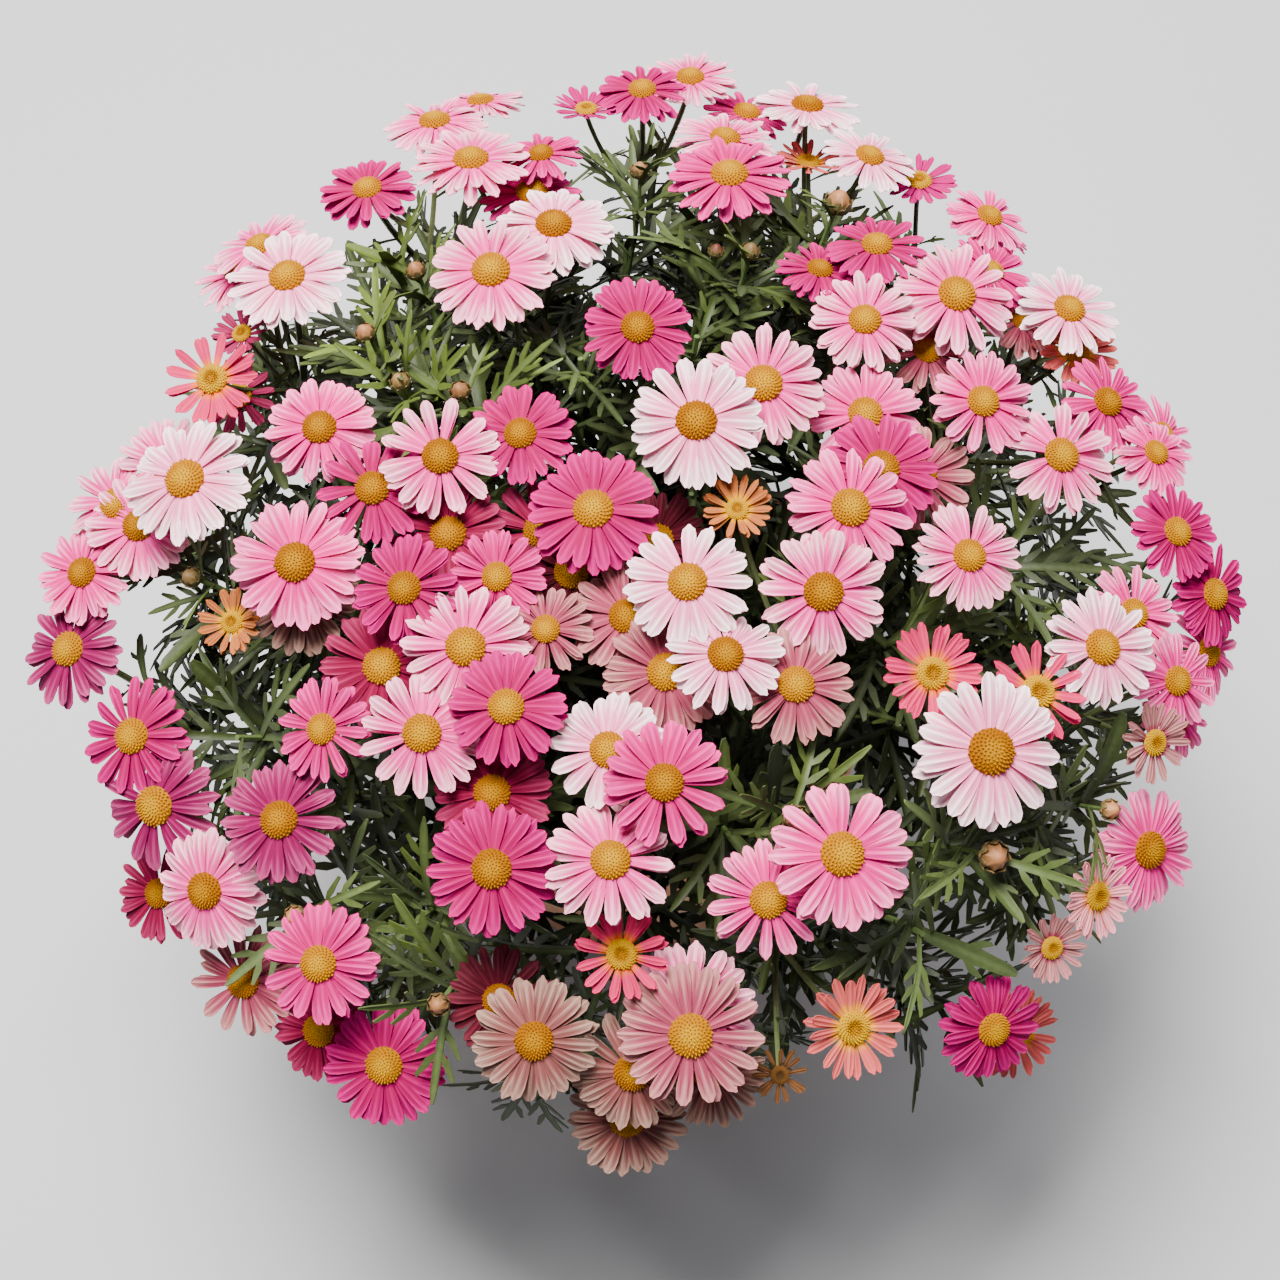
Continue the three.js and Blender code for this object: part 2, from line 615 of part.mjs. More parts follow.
// The first stalk of a bunch stands on the shoot, and the others branch off it in turn
function headSkins({ heads, fork, facing }) {
  const foot = fork.clone().addScaledVector(facing, -FORK.below);
  return heads.map((head, index) => {
    if (index === 0) return head.skin(foot, STALK.rootRadius);
    return head.skin(foot.clone().lerp(heads[0].neck(), index * FORK.step), STALK.sideRoot);
  });
}

function nearestStem(stems, point) {
  const distance = (stem) => Math.hypot(stem.top.x - point.x, stem.top.y - point.y);
  return stems.reduce((best, stem) => (distance(stem) < distance(best) ? stem : best));
}

// A shoot: a thin stem with pairs of rings where its leaves stand
function shootSkin(shoot) {
  const skin = new Skin();
  const curve = shootCurve(shoot);
  const half = LEAF.root / 2 / curve.getLength();
  const pairs = shoot.leaves.whorls.flatMap((share) => [share - half, share + half]);
  const stations = [0, ...pairs, 1];
  const rings = sections(curve, stations).map((section, i) => {
    const radius = SHOOT.rootRadius + (SHOOT.tipRadius - SHOOT.rootRadius) * stations[i];
    return ring(skin, section, radius, SHOOT.sides);
  });
  capRoot(skin, rings[0]);
  rings.slice(1).forEach((high, i) => {
    const isWhorl = i % 2 === 1;
    joinRings(skin, rings[i], high, (corners, side) => {
      const item = shoot.number * 40 + i * 4 + side;
      if (!isWhorl || draw(item, 20) > shoot.leaves.share) return false;
      return tryLeaf(skin, corners, leafFor(item, shoot.size), `shoot${shoot.number}`);
    });
  });
  capTop(skin, curve, rings[rings.length - 1], shoot.bud);
  return skin;
}

function capTop(skin, curve, last, bud) {
  if (!bud) {
    capTip(skin, last);
    return;
  }
  const [end] = sections(curve, [1]);
  const swell = { ...end, centre: end.centre.clone().addScaledVector(end.along, bud * BUD.belly) };
  const wide = ring(skin, swell, bud, SHOOT.sides);
  const distances = wide.map((id) => skin.points[id].distanceTo(skin.points[last[0]]));
  const first = distances.indexOf(Math.min(...distances));
  const turned = wide.map((_, i) => wide[(first + i) % wide.length]);
  joinRings(skin, last, turned);
  const tip = skin.add(end.centre.clone().addScaledVector(end.along, bud * BUD.tip));
  turned.forEach((id, i) => skin.face(id, turned[(i + 1) % turned.length], tip));
}

function leafFor(item, size) {
  const length = size * (LEAF.shortest + (LEAF.longest - LEAF.shortest) * draw(item, 21));
  return {
    item,
    length,
    shape: length > LEAF.fiveLobed ? FIVE_LOBED : THREE_LOBED,
    lift: 0.35 + 0.5 * draw(item, 22),
    arch: 0.1 + 0.25 * draw(item, 23),
    cup: 0.25 * draw(item, 24),
  };
}

// Grows the leaf at the first of its turns that keeps it clear of all but its own shoot
function tryLeaf(skin, corners, blade, shootName) {
  const turned = LEAF_TURNS.map((turn) => ({ ...blade, lift: blade.lift + turn }));
  const fit = turned.find((bent) => isClear(bladeSkin(skin, corners, bent, LEAF.clear), shootName));
  if (!fit) return false;
  place(`leaf${blade.item}`, bladeSkin(skin, corners, fit, 0));
  growBlade(skin, corners, fit);
  return true;
}

// Builds the plant in the order that things need room: stems, stalks, petals, then leaves
const stems = stemPlaces();
const bunches = gatherBunches();
const pot = geometryOf(potSolid());
const soil = soilGeometry();
placeGeometry('pot', pot);
placeGeometry('potting_mix', soil);
const wood = woodyBase(stems);

const shoots = [];
stems.forEach((stem, index) => {
  stem.curve = mainCurve(stem, index);
  stem.main = stemSkin(stem.curve, [0, 0.5, 1], STEM.rootRadius, STEM.tipRadius, STEM.sides);
  place('stem', stem.main);
});

function addShoot(to, facing, leaves, bud = 0) {
  const stem = nearestStem(stems, to);
  shoots.push({ number: shoots.length, stem, to, facing, leaves, bud, size: bud ? 0.9 : 1 });
}

bunches.forEach((bunch) => {
  const foot = bunch.fork.clone().addScaledVector(bunch.facing, -FORK.below);
  const facing = bunch.heads[0].neck().sub(foot).normalize();
  addShoot(foot.addScaledVector(facing, -GAP), facing, UNDER_BLOOMS);
});
GREEN_TIPS.forEach(([east, north, depth, bud]) => {
  const end = onDome(east, north, -depth);
  const facing = new THREE.Vector3(east, north, DOME.reach).normalize();
  addShoot(end, facing, LEAFY_TIP, bud);
});
SKIRT.forEach(([turn, reach, height]) => {
  const angle = THREE.MathUtils.degToRad(turn);
  const outward = new THREE.Vector3(Math.cos(angle), Math.sin(angle), 0);
  const end = outward.clone().multiplyScalar(reach).setZ(height);
  addShoot(end, outward, SKIRT_SHOOT);
});

// Near shoots leave low on their stem, far ones at its top, so that they branch off in turn
stems.forEach((stem) => {
  const own = shoots.filter((shoot) => shoot.stem === stem);
  own.sort((a, b) => Math.hypot(a.to.x, a.to.y) - Math.hypot(b.to.x, b.to.y));
  own.forEach((shoot, index) => {
    const step = (SHOOT.furthest - SHOOT.nearest) / Math.max(1, own.length - 1);
    shoot.share = SHOOT.nearest + step * index;
  });
});
shoots.forEach((shoot) => {
  const bare = stemSkin(shootCurve(shoot), [0, 0.5, 1], SHOOT.rootRadius, SHOOT.tipRadius, SHOOT.sides);
  place(`shoot${shoot.number}`, bare);
});
bunches.forEach((bunch) => {
  headSkins(bunch).forEach((skin, index) => place(`head${bunch.heads[index].number}`, skin));
});

// Petals find room from the highest flower down
const heads = bunches.flatMap((bunch) => bunch.heads);
const byHeight = [...heads].sort((a, b) => b.centre.z - a.centre.z);
byHeight.forEach((head) => {
  for (let petal = 0; petal < head.petals; petal += 1) {
    const rest = head.restingPitch(petal);
    const choices = LENGTHS.flatMap((length) => PITCHES.map((pitch) => ({ length, pitch: rest + pitch })));
    const owner = `head${head.number}`;
    const fit = choices.find((bend) => isClear(head.petalSkin(petal, bend, LEAF.clear), owner));
    if (fit) {
      head.bends[petal] = fit;
      place(owner, head.petalSkin(petal, fit, 0));
    }
  }
});

const plant = new THREE.Group();

function finish(colour, roughness) {
  return new THREE.MeshStandardMaterial({ color: colour, roughness, metalness: 0 });
}

const CLAY = finish(0xb5673f, 0.85);
const EARTH = finish(0x3a2a20, 0.95);
const BARK = finish(0x6f5a3c, 0.85);
const GREEN = finish(0x3f5a2c, 0.7);
const PETALS = { hot: finish(0xe0478c, 0.6), pale: finish(0xf3cdd8, 0.6), pink: finish(0xea86b4, 0.6) };

function addNode(name, geometry, material) {
  const mesh = new THREE.Mesh(geometry, material);
  mesh.name = name;
  plant.add(mesh);
}

function numbered(name, index) {
  return `${name}_${String(index + 1).padStart(2, '0')}`;
}

addNode('pot', pot, CLAY);
addNode('potting_mix', soil, EARTH);
addNode('woody_base', geometryOf(wood), BARK);
stems.forEach((stem, index) => {
  let solid = stem.main.solid();
  shoots.filter((shoot) => shoot.stem === stem).forEach((shoot) => {
    solid = solid.add(shootSkin(shoot).solid());
  });
  addNode(numbered('leafy_stem', index), geometryOf(solid), GREEN);
});
bunches.forEach((bunch, index) => {
  const solid = headSkins(bunch).map((skin) => skin.solid()).reduce((whole, head) => whole.add(head));
  addNode(numbered('flower_bunch', index), geometryOf(solid), PETALS[bunch.colour]);
});

export default plant;
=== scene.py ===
"""Potted marguerite daisy, dressed around its solid frame.

Each bunch of blooms, each leafy stem, the woody base, the potting mix and the clay pot is one piece. Petals,
florets, cups, leaves, buds and stem tubes are modelled once and copied into the pieces. Tables are in
millimetres with +Z up and the middle of the pot's base as the origin, and meshes are in metres.
"""

from __future__ import annotations

import json
import logging
import math
from collections.abc import Callable, Iterable, Sequence
from dataclasses import dataclass, field, replace
from enum import Enum
from itertools import product

import bmesh
import bpy
import numpy as np
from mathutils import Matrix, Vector, noise
from mathutils.kdtree import KDTree

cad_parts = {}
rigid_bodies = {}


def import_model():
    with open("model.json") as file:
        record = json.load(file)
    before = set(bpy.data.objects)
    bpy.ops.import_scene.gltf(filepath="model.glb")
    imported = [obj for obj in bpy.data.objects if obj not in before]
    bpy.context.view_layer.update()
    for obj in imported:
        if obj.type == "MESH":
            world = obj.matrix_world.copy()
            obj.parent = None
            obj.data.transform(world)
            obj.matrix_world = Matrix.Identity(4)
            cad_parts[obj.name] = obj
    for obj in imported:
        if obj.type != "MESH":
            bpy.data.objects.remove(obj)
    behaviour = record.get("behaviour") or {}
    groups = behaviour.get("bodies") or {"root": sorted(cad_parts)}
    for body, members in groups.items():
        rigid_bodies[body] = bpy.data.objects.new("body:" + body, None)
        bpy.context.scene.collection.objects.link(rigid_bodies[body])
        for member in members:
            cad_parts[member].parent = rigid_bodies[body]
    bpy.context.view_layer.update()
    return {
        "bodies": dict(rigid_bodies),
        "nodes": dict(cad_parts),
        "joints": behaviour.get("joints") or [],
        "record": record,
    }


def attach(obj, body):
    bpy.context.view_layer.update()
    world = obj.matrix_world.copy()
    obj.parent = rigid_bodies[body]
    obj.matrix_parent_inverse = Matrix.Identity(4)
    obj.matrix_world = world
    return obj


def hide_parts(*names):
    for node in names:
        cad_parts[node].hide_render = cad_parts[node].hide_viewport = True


log = logging.getLogger("marguerite")

MM = 0.001
FULL_TURN = 2 * math.pi
GOLDEN_TURN = math.pi * (3 - math.sqrt(5))
Colour = tuple[float, float, float]
Place = tuple[float, float, float]
Spot = np.ndarray


def spot(x: float, y: float, z: float) -> Spot:
    """A point or direction as an array."""
    return np.array([x, y, z], float)


def unit(direction: Spot) -> Spot:
    """The direction at length one."""
    return direction / np.linalg.norm(direction)


def around(turn: float) -> Spot:
    """The level direction at a turn from east, in radians."""
    return spot(math.cos(turn), math.sin(turn), 0)


UP = spot(0, 0, 1)


def level_frame(turn: float) -> np.ndarray:
    """X, Y and Z axes that are turned about the upright one."""
    return np.array([around(turn), np.cross(UP, around(turn)), UP])


def draw(item: float, purpose: float) -> float:
    """Seeded draw from 0 to 1, the same one that places the solid pieces.

    Args:
        item: Number of the thing that the draw is for.
        purpose: Number of what is drawn for it.

    Returns:
        A number from 0 to 1.
    """
    wave = math.sin(item * 12.9898 + purpose * 78.233) * 43758.5453
    return wave - math.floor(wave)


def sway(item: float, purpose: float) -> float:
    """Seeded draw from -0.5 to 0.5."""
    return draw(item, purpose) - 0.5


def clamp01(value: float) -> float:
    """The value, kept from 0 to 1."""
    return min(1.0, max(0.0, value))


def solid_points(node: bpy.types.Object) -> KDTree:
    """The points of a solid, ready for a search.

    Args:
        node: The solid.

    Returns:
        The tree of its points.
    """
    points = node.data.vertices
    tree = KDTree(len(points))
    for i, point in enumerate(points):
        tree.insert(point.co, i)
    tree.balance()
    return tree


def choose(thing: bpy.types.Object) -> None:
    """Makes an object the active one and the only one that is selected.

    Args:
        thing: The object.
    """
    bpy.ops.object.select_all(action="DESELECT")
    thing.select_set(True)
    bpy.context.view_layer.objects.active = thing


def modify(thing: bpy.types.Object, kind: str, **settings: object) -> None:
    """Adds a modifier to the active object and applies it.

    Args:
        thing: The object.
        kind: The modifier's type.
        **settings: Its settings.
    """
    bpy.ops.object.modifier_add(type=kind)
    modifier = thing.modifiers[-1]
    for name, value in settings.items():
        setattr(modifier, name, value)
    bpy.ops.object.modifier_apply(modifier=modifier.name)


class Tint(Enum):
    """Petal colours of a bloom: the colour of the tips and the colour at the disc. The rose, wine, dusty and
    dull ones are darkened for blooms deep in the bush: painted shade.
    """

    WHITE = ((0.97, 0.68, 0.73), (0.95, 0.24, 0.45))
    PALE = ((0.93, 0.39, 0.52), (0.81, 0.048, 0.28))
    BLUSH = ((0.90, 0.18, 0.40), (0.74, 0.014, 0.22))
    PINK = ((0.68, 0.028, 0.23), (0.52, 0.003, 0.135))
    MAUVE = ((0.35, 0.042, 0.140), (0.215, 0.006, 0.066))
    # Deep rose, darkened with painted shade for blooms that sit deep among the others
    ROSE = ((0.29, 0.022, 0.078), (0.205, 0.005, 0.038))
    HOT = ((0.47, 0.004, 0.145), (0.34, 0.0012, 0.080))
    # Very dark red for blooms deep in the shadow of others: painted shade
    WINE = ((0.12, 0.018, 0.030), (0.08, 0.007, 0.015))
    # Pale pink, darker and greyer for blooms deep in the bush: painted shade
    DUSTY = ((0.45, 0.175, 0.175), (0.33, 0.048, 0.090))
    # Pink, darker and browner for blooms low in the bush: painted shade
    DULL = ((0.32, 0.185, 0.145), (0.22, 0.068, 0.064))
    SHELL = ((0.90, 0.30, 0.35), (0.88, 0.28, 0.10))
    CORAL = ((0.62, 0.022, 0.110), (0.75, 0.13, 0.022))
    SALMON = ((0.60, 0.095, 0.095), (0.75, 0.29, 0.017))
    PEACH = ((0.44, 0.130, 0.040), (0.66, 0.27, 0.002))
    DRIED = ((0.13, 0.056, 0.022), (0.08, 0.030, 0.010))


WHITE, PALE, BLUSH, PINK, MAUVE, ROSE, HOT, WINE, DUSTY, DULL, SHELL, CORAL, SALMON, PEACH, DRIED = Tint
YOUNG_TINTS = (SALMON, PEACH, CORAL, SHELL)


@dataclass(frozen=True)
class Dome:
    """The rounded surface that the blooms sit on."""

    reach: float = 262
    shoulder: float = 262
    rise: float = 148
    power: float = 2.3
    skirt: float = 1.2
    steepest: float = 1.6

    def height(self, radius: float) -> float:
        """Height of the surface at a distance from the middle."""
        inside = max(0.0, 1 - (radius / self.reach) ** self.power) ** (1 / self.power)
        return self.shoulder + self.rise * inside - self.skirt * max(0.0, radius - self.reach)

    def slope(self, radius: float) -> float:
        """How steeply the surface falls at a distance from the middle."""
        return min(self.steepest, self.height(radius) - self.height(radius + 1))

    def point(self, east: float, north: float, lift: float) -> Spot:
        """The point over a place on the plan, lifted off the surface."""
        return spot(east, north, self.height(math.hypot(east, north)) + lift)


DOME = Dome()
BLOOM_ROWS: dict[str, list[list[tuple[float, float, float, float, Tint]]]] = {
    "petals_hot_pink": [
        [(-1, 30, 0, 44, HOT), (49, 3, 0, 50, PALE), (22, -19, 5, 53, WHITE)],
        [(-18, -57, 2, 51, HOT), (-39, -53, -20, 46, ROSE), (-27, -70, -22, 44, WINE),
         (7, -49, -34, 42, WINE)],
        [(95, -31, -4, 48, HOT), (91, 1, -14, 46, BLUSH), (113, -22, -20, 44, DUSTY)],
        [(-50, -135, 3, 45, HOT), (-56, -158, -15, 46, ROSE), (-55, -190, 2, 49, HOT)],
        [(-237, -70, 0, 48, MAUVE), (-202, -119, 0, 47, HOT)],
        [(-138, -163, -3, 48, MAUVE), (-121, -134, -3, 40, PINK)],
        [(-123, -211, 2, 46, PINK), (-127, -223, -14, 42, ROSE), (-158, -204, -5, 44, DUSTY),
         (-100, -239, 0, 48, HOT)],
        [(141, -220, 2, 44, HOT), (156, -210, -28, 38, SALMON)],
        [(240, -46, 0, 43, HOT), (222, -29, -2, 41, HOT), (240, -62, -15, 43, BLUSH)],
        [(99, 80, 2, 42, HOT), (75, 71, -8, 36, HOT), (92, 41, -3, 44, PALE)],
        [(1, 184, 2, 40, HOT), (-24, 176, -5, 30, HOT), (23, 205, 0, 42, PALE)],
        [(-118, 124, 0, 41, HOT), (-92, 173, 0, 46, PALE)],
    ],
    "petals_pale_pink": [
        [(18, -89, 5, 49, WHITE), (-5, -94, -12, 46, DUSTY), (32, -116, 3, 45, WHITE),
         (10, -115, -14, 48, DUSTY)],
        [(-36, -100, -9, 36, DUSTY), (-66, -110, 0, 50, PALE)],
        [(-100, -107, -16, 48, ROSE), (-82, -141, 0, 48, PALE)],
        [(-12, -148, -5, 45, WHITE), (9, -163, 3, 47, PINK), (-11, -188, 0, 49, PALE),
         (-7, -214, -12, 35, CORAL)],
        [(19, -241, 2, 54, DUSTY), (19, -229, -16, 50, PALE), (27, -245, -20, 46, DULL)],
        [(-40, -241, 0, 48, DULL), (-54, -223, -24, 42, WINE), (-3, -248, -10, 46, DULL),
         (-5, -257, -18, 47, DULL)],
        [(162, -196, 0, 28, DUSTY), (181, -176, 0, 34, SHELL), (206, -152, 0, 50, BLUSH)],
        [(133, -144, 6, 59, WHITE), (112, -113, -6, 38, CORAL)],
        [(181, -95, 4, 48, WHITE), (200, -68, -12, 41, BLUSH)],
        [(215, 4, 0, 36, BLUSH), (195, 23, -3, 42, PINK), (228, 36, -20, 38, BLUSH)],
        [(182, 66, 2, 45, WHITE), (165, 71, -20, 36, DUSTY), (187, 59, -16, 38, SALMON)],
        [(100, 141, 2, 42, WHITE), (75, 180, 2, 47, WHITE), (76, 160, -22, 30, SALMON)],
        [(-36, 87, 0, 50, WHITE), (-61, 59, 4, 52, PALE)],
        [(-148, 72, 3, 51, WHITE), (-169, 58, -12, 26, ROSE), (-177, 26, 0, 39, CORAL)],
        [(-165, 105, -3, 44, PALE), (-177, 103, -14, 40, PALE), (-171, 36, -28, 34, ROSE)],
        [(-196, -2, -14, 46, PALE), (-183, -24, 4, 54, WHITE)],
        [(-192, -145, -2, 52, MAUVE), (-196, -165, -14, 40, ROSE), (-170, -179, 2, 48, PALE)],
        [(-76, 226, -10, 42, PALE), (-84, 229, -52, 42, BLUSH), (-173, 178, -50, 42, PALE),
         (-133, 208, -40, 46, BLUSH)],
        [(80, 233, -14, 44, PALE), (110, 212, -40, 42, BLUSH), (0, 235, -20, 44, PALE),
         (44, 228, -74, 42, BLUSH)],
    ],
    "petals_mid_pink": [
        [(-47, -21, 0, 42, HOT), (-78, -32, 4, 47, PALE), (-105, -40, -2, 45, HOT),
         (-128, -10, 0, 45, BLUSH)],
        [(59, -122, -6, 46, DUSTY), (70, -88, 0, 50, PALE), (81, -55, 5, 50, BLUSH),
         (38, -48, -12, 28, PEACH)],
        [(-75, -57, -12, 47, ROSE), (-55, -80, -5, 38, PINK), (-90, -86, 2, 43, HOT)],
        [(48, -197, -8, 46, BLUSH), (75, -185, 5, 55, BLUSH), (54, -246, -12, 22, DRIED),
         (81, -234, 0, 39, SALMON)],
        [(128, -67, 0, 43, PALE), (154, -115, -3, 40, CORAL)],
        [(217, -93, 0, 40, BLUSH), (222, -97, -16, 38, BLUSH), (206, -118, -4, 33, DUSTY)],
        [(138, 3, 2, 43, BLUSH), (120, 42, -20, 38, DUSTY), (170, -14, 0, 47, PALE)],
        [(131, 57, 3, 52, PALE), (150, 86, -8, 38, PINK)],
        [(152, 117, 0, 38, BLUSH), (123, 139, -6, 34, HOT)],
        [(49, 196, -16, 40, PINK), (37, 148, -2, 44, PALE), (38, 117, 2, 52, PINK)],
        [(-43, 140, -5, 36, PINK), (-47, 124, -16, 46, PINK), (-73, 132, 2, 50, PALE)],
        [(-218, -16, -5, 44, PALE), (-207, -27, -12, 46, PALE), (-231, -43, 0, 42, BLUSH)],
        [(-134, -70, 2, 52, BLUSH), (-161, -83, -10, 27, PEACH), (-133, -75, -16, 46, DULL)],
        [(205, 141, -45, 42, BLUSH), (170, 190, -28, 44, PINK)],
    ],
}
# Blooms that face further to the east and north than the rest of the rule gives, by number
TILTS: dict[int, tuple[float, float]] = {
    17: (-0.25, 0), 22: (0.15, 0), 24: (-0.2, 0), 27: (0, 0.3), 28: (0, 0.3),
    34: (0, 0.15), 55: (0.1, 0), 70: (0, 0.08), 83: (0, 0.15), 123: (0, 0.12),
}

# Green shoots that end in leaves or in a bud: east, north, depth under the dome, and bud radius
GREEN_TIPS: list[tuple[float, float, float, float]] = [
    (-113, 46, 18, 5), (-94, 80, 20, 5), (-97, 20, 20, 5), (-72, 11, 18, 5), (0, 137, 20, 5),
    (32, 88, 22, 4), (46, 84, 18, 5), (84, 114, 14, 7), (134, -172, 12, 7), (186, -142, 20, 5),
    (-132, -190, 16, 5), (58, -166, 16, 6), (-181, -52, 26, 5), (-76, -224, 14, 5),
    (-105, 92, 26, 0), (-25, 40, 34, 0), (24, 52, 34, 0), (70, 96, 34, 0),
    (104, -88, 32, 0), (152, -44, 34, 0), (-162, -116, 36, 0), (-86, -192, 34, 0),
    (34, -165, 36, 0), (110, -196, 28, 0), (160, -150, 34, 0),
]
# Low leafy shoots that spread over the pot's rim: turn from east in degrees, reach and height
SKIRT: list[tuple[float, float, float]] = [
    (8, 205, 214), (34, 212, 222), (58, 206, 210), (83, 214, 218), (112, 204, 208), (140, 214, 222),
    (166, 206, 212), (192, 214, 218), (216, 204, 208), (238, 216, 216), (257, 214, 178), (282, 208, 212),
    (305, 214, 220), (331, 206, 210),
]


class Bench:
    """One mesh on the bench, shaped with Blender's own modelling tools."""

    def __init__(self, add: Callable[..., object], **place: object) -> None:
        """Adds a primitive, applies its place to its mesh and opens it for editing, nothing selected.

        Args:
            add: The operator that adds the primitive.
            **place: Its settings.
        """
        bpy.ops.object.select_all(action="DESELECT")
        add(**place)
        bpy.ops.object.transform_apply()
        self.thing = bpy.context.object
        bpy.ops.object.mode_set(mode="EDIT")
        bpy.ops.mesh.select_mode(type="VERT")
        bpy.ops.mesh.select_all(action="DESELECT")

    def pick(self, wanted: Callable[[Vector], bool]) -> Bench:
        """Selects the vertices at the places that are wanted, and what lies between them.

        Args:
            wanted: Test of a vertex's place.

        Returns:
            The bench, so that a shaping call can follow.
        """
        shape = bmesh.from_edit_mesh(self.thing.data)
        for vert in shape.verts:
            vert.select = wanted(vert.co)
        shape.select_flush_mode()
        bmesh.update_edit_mesh(self.thing.data)
        return self

    def all(self) -> Bench:
        """Selects everything."""
        bpy.ops.mesh.select_all(action="SELECT")
        return self

    def move(self, x: float = 0, y: float = 0, z: float = 0) -> Bench:
        """Moves what is selected."""
        bpy.ops.transform.translate(value=(x, y, z))
        return self

    def size(self, x: float = 1, y: float = 1, z: float = 1, about: Sequence[float] = (0, 0, 0)) -> Bench:
        """Scales what is selected about a point."""
        bpy.ops.transform.resize(value=(x, y, z), center_override=tuple(about))
        return self

    def turn(self, degrees: float) -> Bench:
        """Turns what is selected about its own middle, anticlockwise from above."""
        bpy.ops.transform.rotate(value=-math.radians(degrees), orient_axis="Z", center_override=self.middle())
        return self

    def extrude(self, x: float = 0, y: float = 0, z: float = 0) -> Bench:
        """Extrudes what is selected."""
        bpy.ops.mesh.extrude_region_move(TRANSFORM_OT_translate={"value": (x, y, z)})
        return self

    def middle(self) -> Vector:
        """Mean place of the selected vertices.

        Returns:
            The place.
        """
        shape = bmesh.from_edit_mesh(self.thing.data)
        picked = [vert.co for vert in shape.verts if vert.select]
        return sum(picked, Vector()) / len(picked)

    def face_out(self) -> Bench:
        """Turns every face outward.

        Returns:
            The bench.
        """
        self.all()
        bpy.ops.mesh.normals_make_consistent(inside=False)
        return self

    def close(self) -> bpy.types.Object:
        """Leaves edit mode and gives back the object."""
        bpy.ops.object.mode_set(mode="OBJECT")
        return self.thing

    def thicken(self, thickness: float) -> bpy.types.Object:
        """Leaves edit mode, makes the sheet a thin solid, half to each side, and gives back the object."""
        modify(self.close(), "SOLIDIFY", thickness=thickness, offset=0)
        return self.thing


@dataclass
class Pattern:
    """A small mesh that was modelled once, ready to be copied into pieces."""

    spots: np.ndarray
    corners: np.ndarray
    sizes: np.ndarray
    grain: np.ndarray

    @classmethod
    def of(cls, thing: bpy.types.Object, grain: Callable[..., Sequence[object]]) -> Pattern:
        """Takes the mesh off an object and removes the object.

        Args:
            thing: The modelled object.
            grain: Gives the places across and along the pattern, and the kinds, from all x, y and z.

        Returns:
            The pattern.
        """
        mesh = thing.data
        spots = np.empty(len(mesh.vertices) * 3)
        mesh.vertices.foreach_get("co", spots)
        spots = spots.reshape(-1, 3)
        corners = np.empty(len(mesh.loops), np.int32)
        mesh.loops.foreach_get("vertex_index", corners)
        sizes = np.empty(len(mesh.polygons), np.int32)
        mesh.polygons.foreach_get("loop_total", sizes)
        bpy.data.objects.remove(thing)
        bpy.data.meshes.remove(mesh)
        grains = np.zeros_like(spots)
        for column, value in enumerate(grain(*spots.T)):
            grains[:, column] = value
        return cls(spots, corners, sizes, grains)

    def copy(self, origin: Spot, axes: Sequence[Spot]) -> Pattern:
        """A copy in the frame that an origin and three axes give."""
        return Pattern(origin + self.spots @ np.array(axes), self.corners, self.sizes, self.grain.copy())

    def joined(self, other: Pattern) -> Pattern:
        """This pattern and another as one."""
        return Pattern(
            np.vstack([self.spots, other.spots]),
            np.concatenate([self.corners, other.corners + len(self.spots)]),
            np.concatenate([self.sizes, other.sizes]),
            np.vstack([self.grain, other.grain]),
        )


class Sheaf:
    """Copies of patterns, gathered into the mesh of one piece."""

    def __init__(self) -> None:
        """Starts with nothing gathered."""
        self.count = 0
        self.parts: dict[str, list[np.ndarray]] = {
            key: [] for key in ("spots", "corners", "sizes", "finish", "tint", "heart", "grain")
        }

    def add(
        self,
        pattern: Pattern,
        spots: np.ndarray,
        finish: int,
        tint: Colour,
        heart: Colour,
        kind: float | None = None,
        reach: float = 1.0,
    ) -> None:
        """Adds one copy of a pattern.

        Args:
            pattern: What is copied.
            spots: The copy's points in millimetres.
            finish: Number of its finish on the piece.
            tint: Its main colour.
            heart: Its second colour.
            kind: Number from 0 to 1 that tells this copy from others, in place of the pattern's own.
            reach: How far out along it the second colour goes.
        """
        total = len(spots)
        grain = pattern.grain
        if kind is not None:
            grain = grain.copy()
            grain[:, 2] = kind
        rows = (
            spots * MM, pattern.corners + self.count, pattern.sizes, np.full(len(pattern.sizes), finish),
            np.tile((*tint, 1.0), (total, 1)), np.tile((*heart, reach), (total, 1)), grain,
        )
        for part, row in zip(self.parts.values(), rows):
            part.append(row)
        self.count += total

    def make(self, name: str, finishes: Sequence[bpy.types.Material], crease: float = 50) -> bpy.types.Object:
        """Makes the piece's object.

        Args:
            name: The piece's name.
            finishes: Its materials, in the order of their numbers.
            crease: Angle in degrees past which an edge stays sharp.

        Returns:
            The object, at the origin.
        """
        whole = {key: np.concatenate(parts) for key, parts in self.parts.items()}
        mesh = bpy.data.meshes.new(name)
        mesh.vertices.add(len(whole["spots"]))
        mesh.vertices.foreach_set("co", whole["spots"].astype(np.float32).ravel())
        mesh.loops.add(len(whole["corners"]))
        mesh.loops.foreach_set("vertex_index", whole["corners"].astype(np.int32))
        sizes = whole["sizes"]
        mesh.polygons.add(len(sizes))
        mesh.polygons.foreach_set("loop_start", np.concatenate([[0], np.cumsum(sizes)[:-1]]).astype(np.int32))
        mesh.polygons.foreach_set("material_index", whole["finish"].astype(np.int32))
        mesh.update(calc_edges=True)
        for key in ("tint", "heart"):
            colours = mesh.attributes.new(key, "FLOAT_COLOR", "POINT")
            colours.data.foreach_set("color", whole[key].astype(np.float32).ravel())
        grain = mesh.attributes.new("grain", "FLOAT_VECTOR", "POINT")
        grain.data.foreach_set("vector", whole["grain"].astype(np.float32).ravel())
        for finish in finishes:
            mesh.materials.append(finish)
        piece = bpy.data.objects.new(name, mesh)
        bpy.context.scene.collection.objects.link(piece)
        choose(piece)
        bpy.ops.object.shade_smooth_by_angle(angle=math.radians(crease))
        return piece


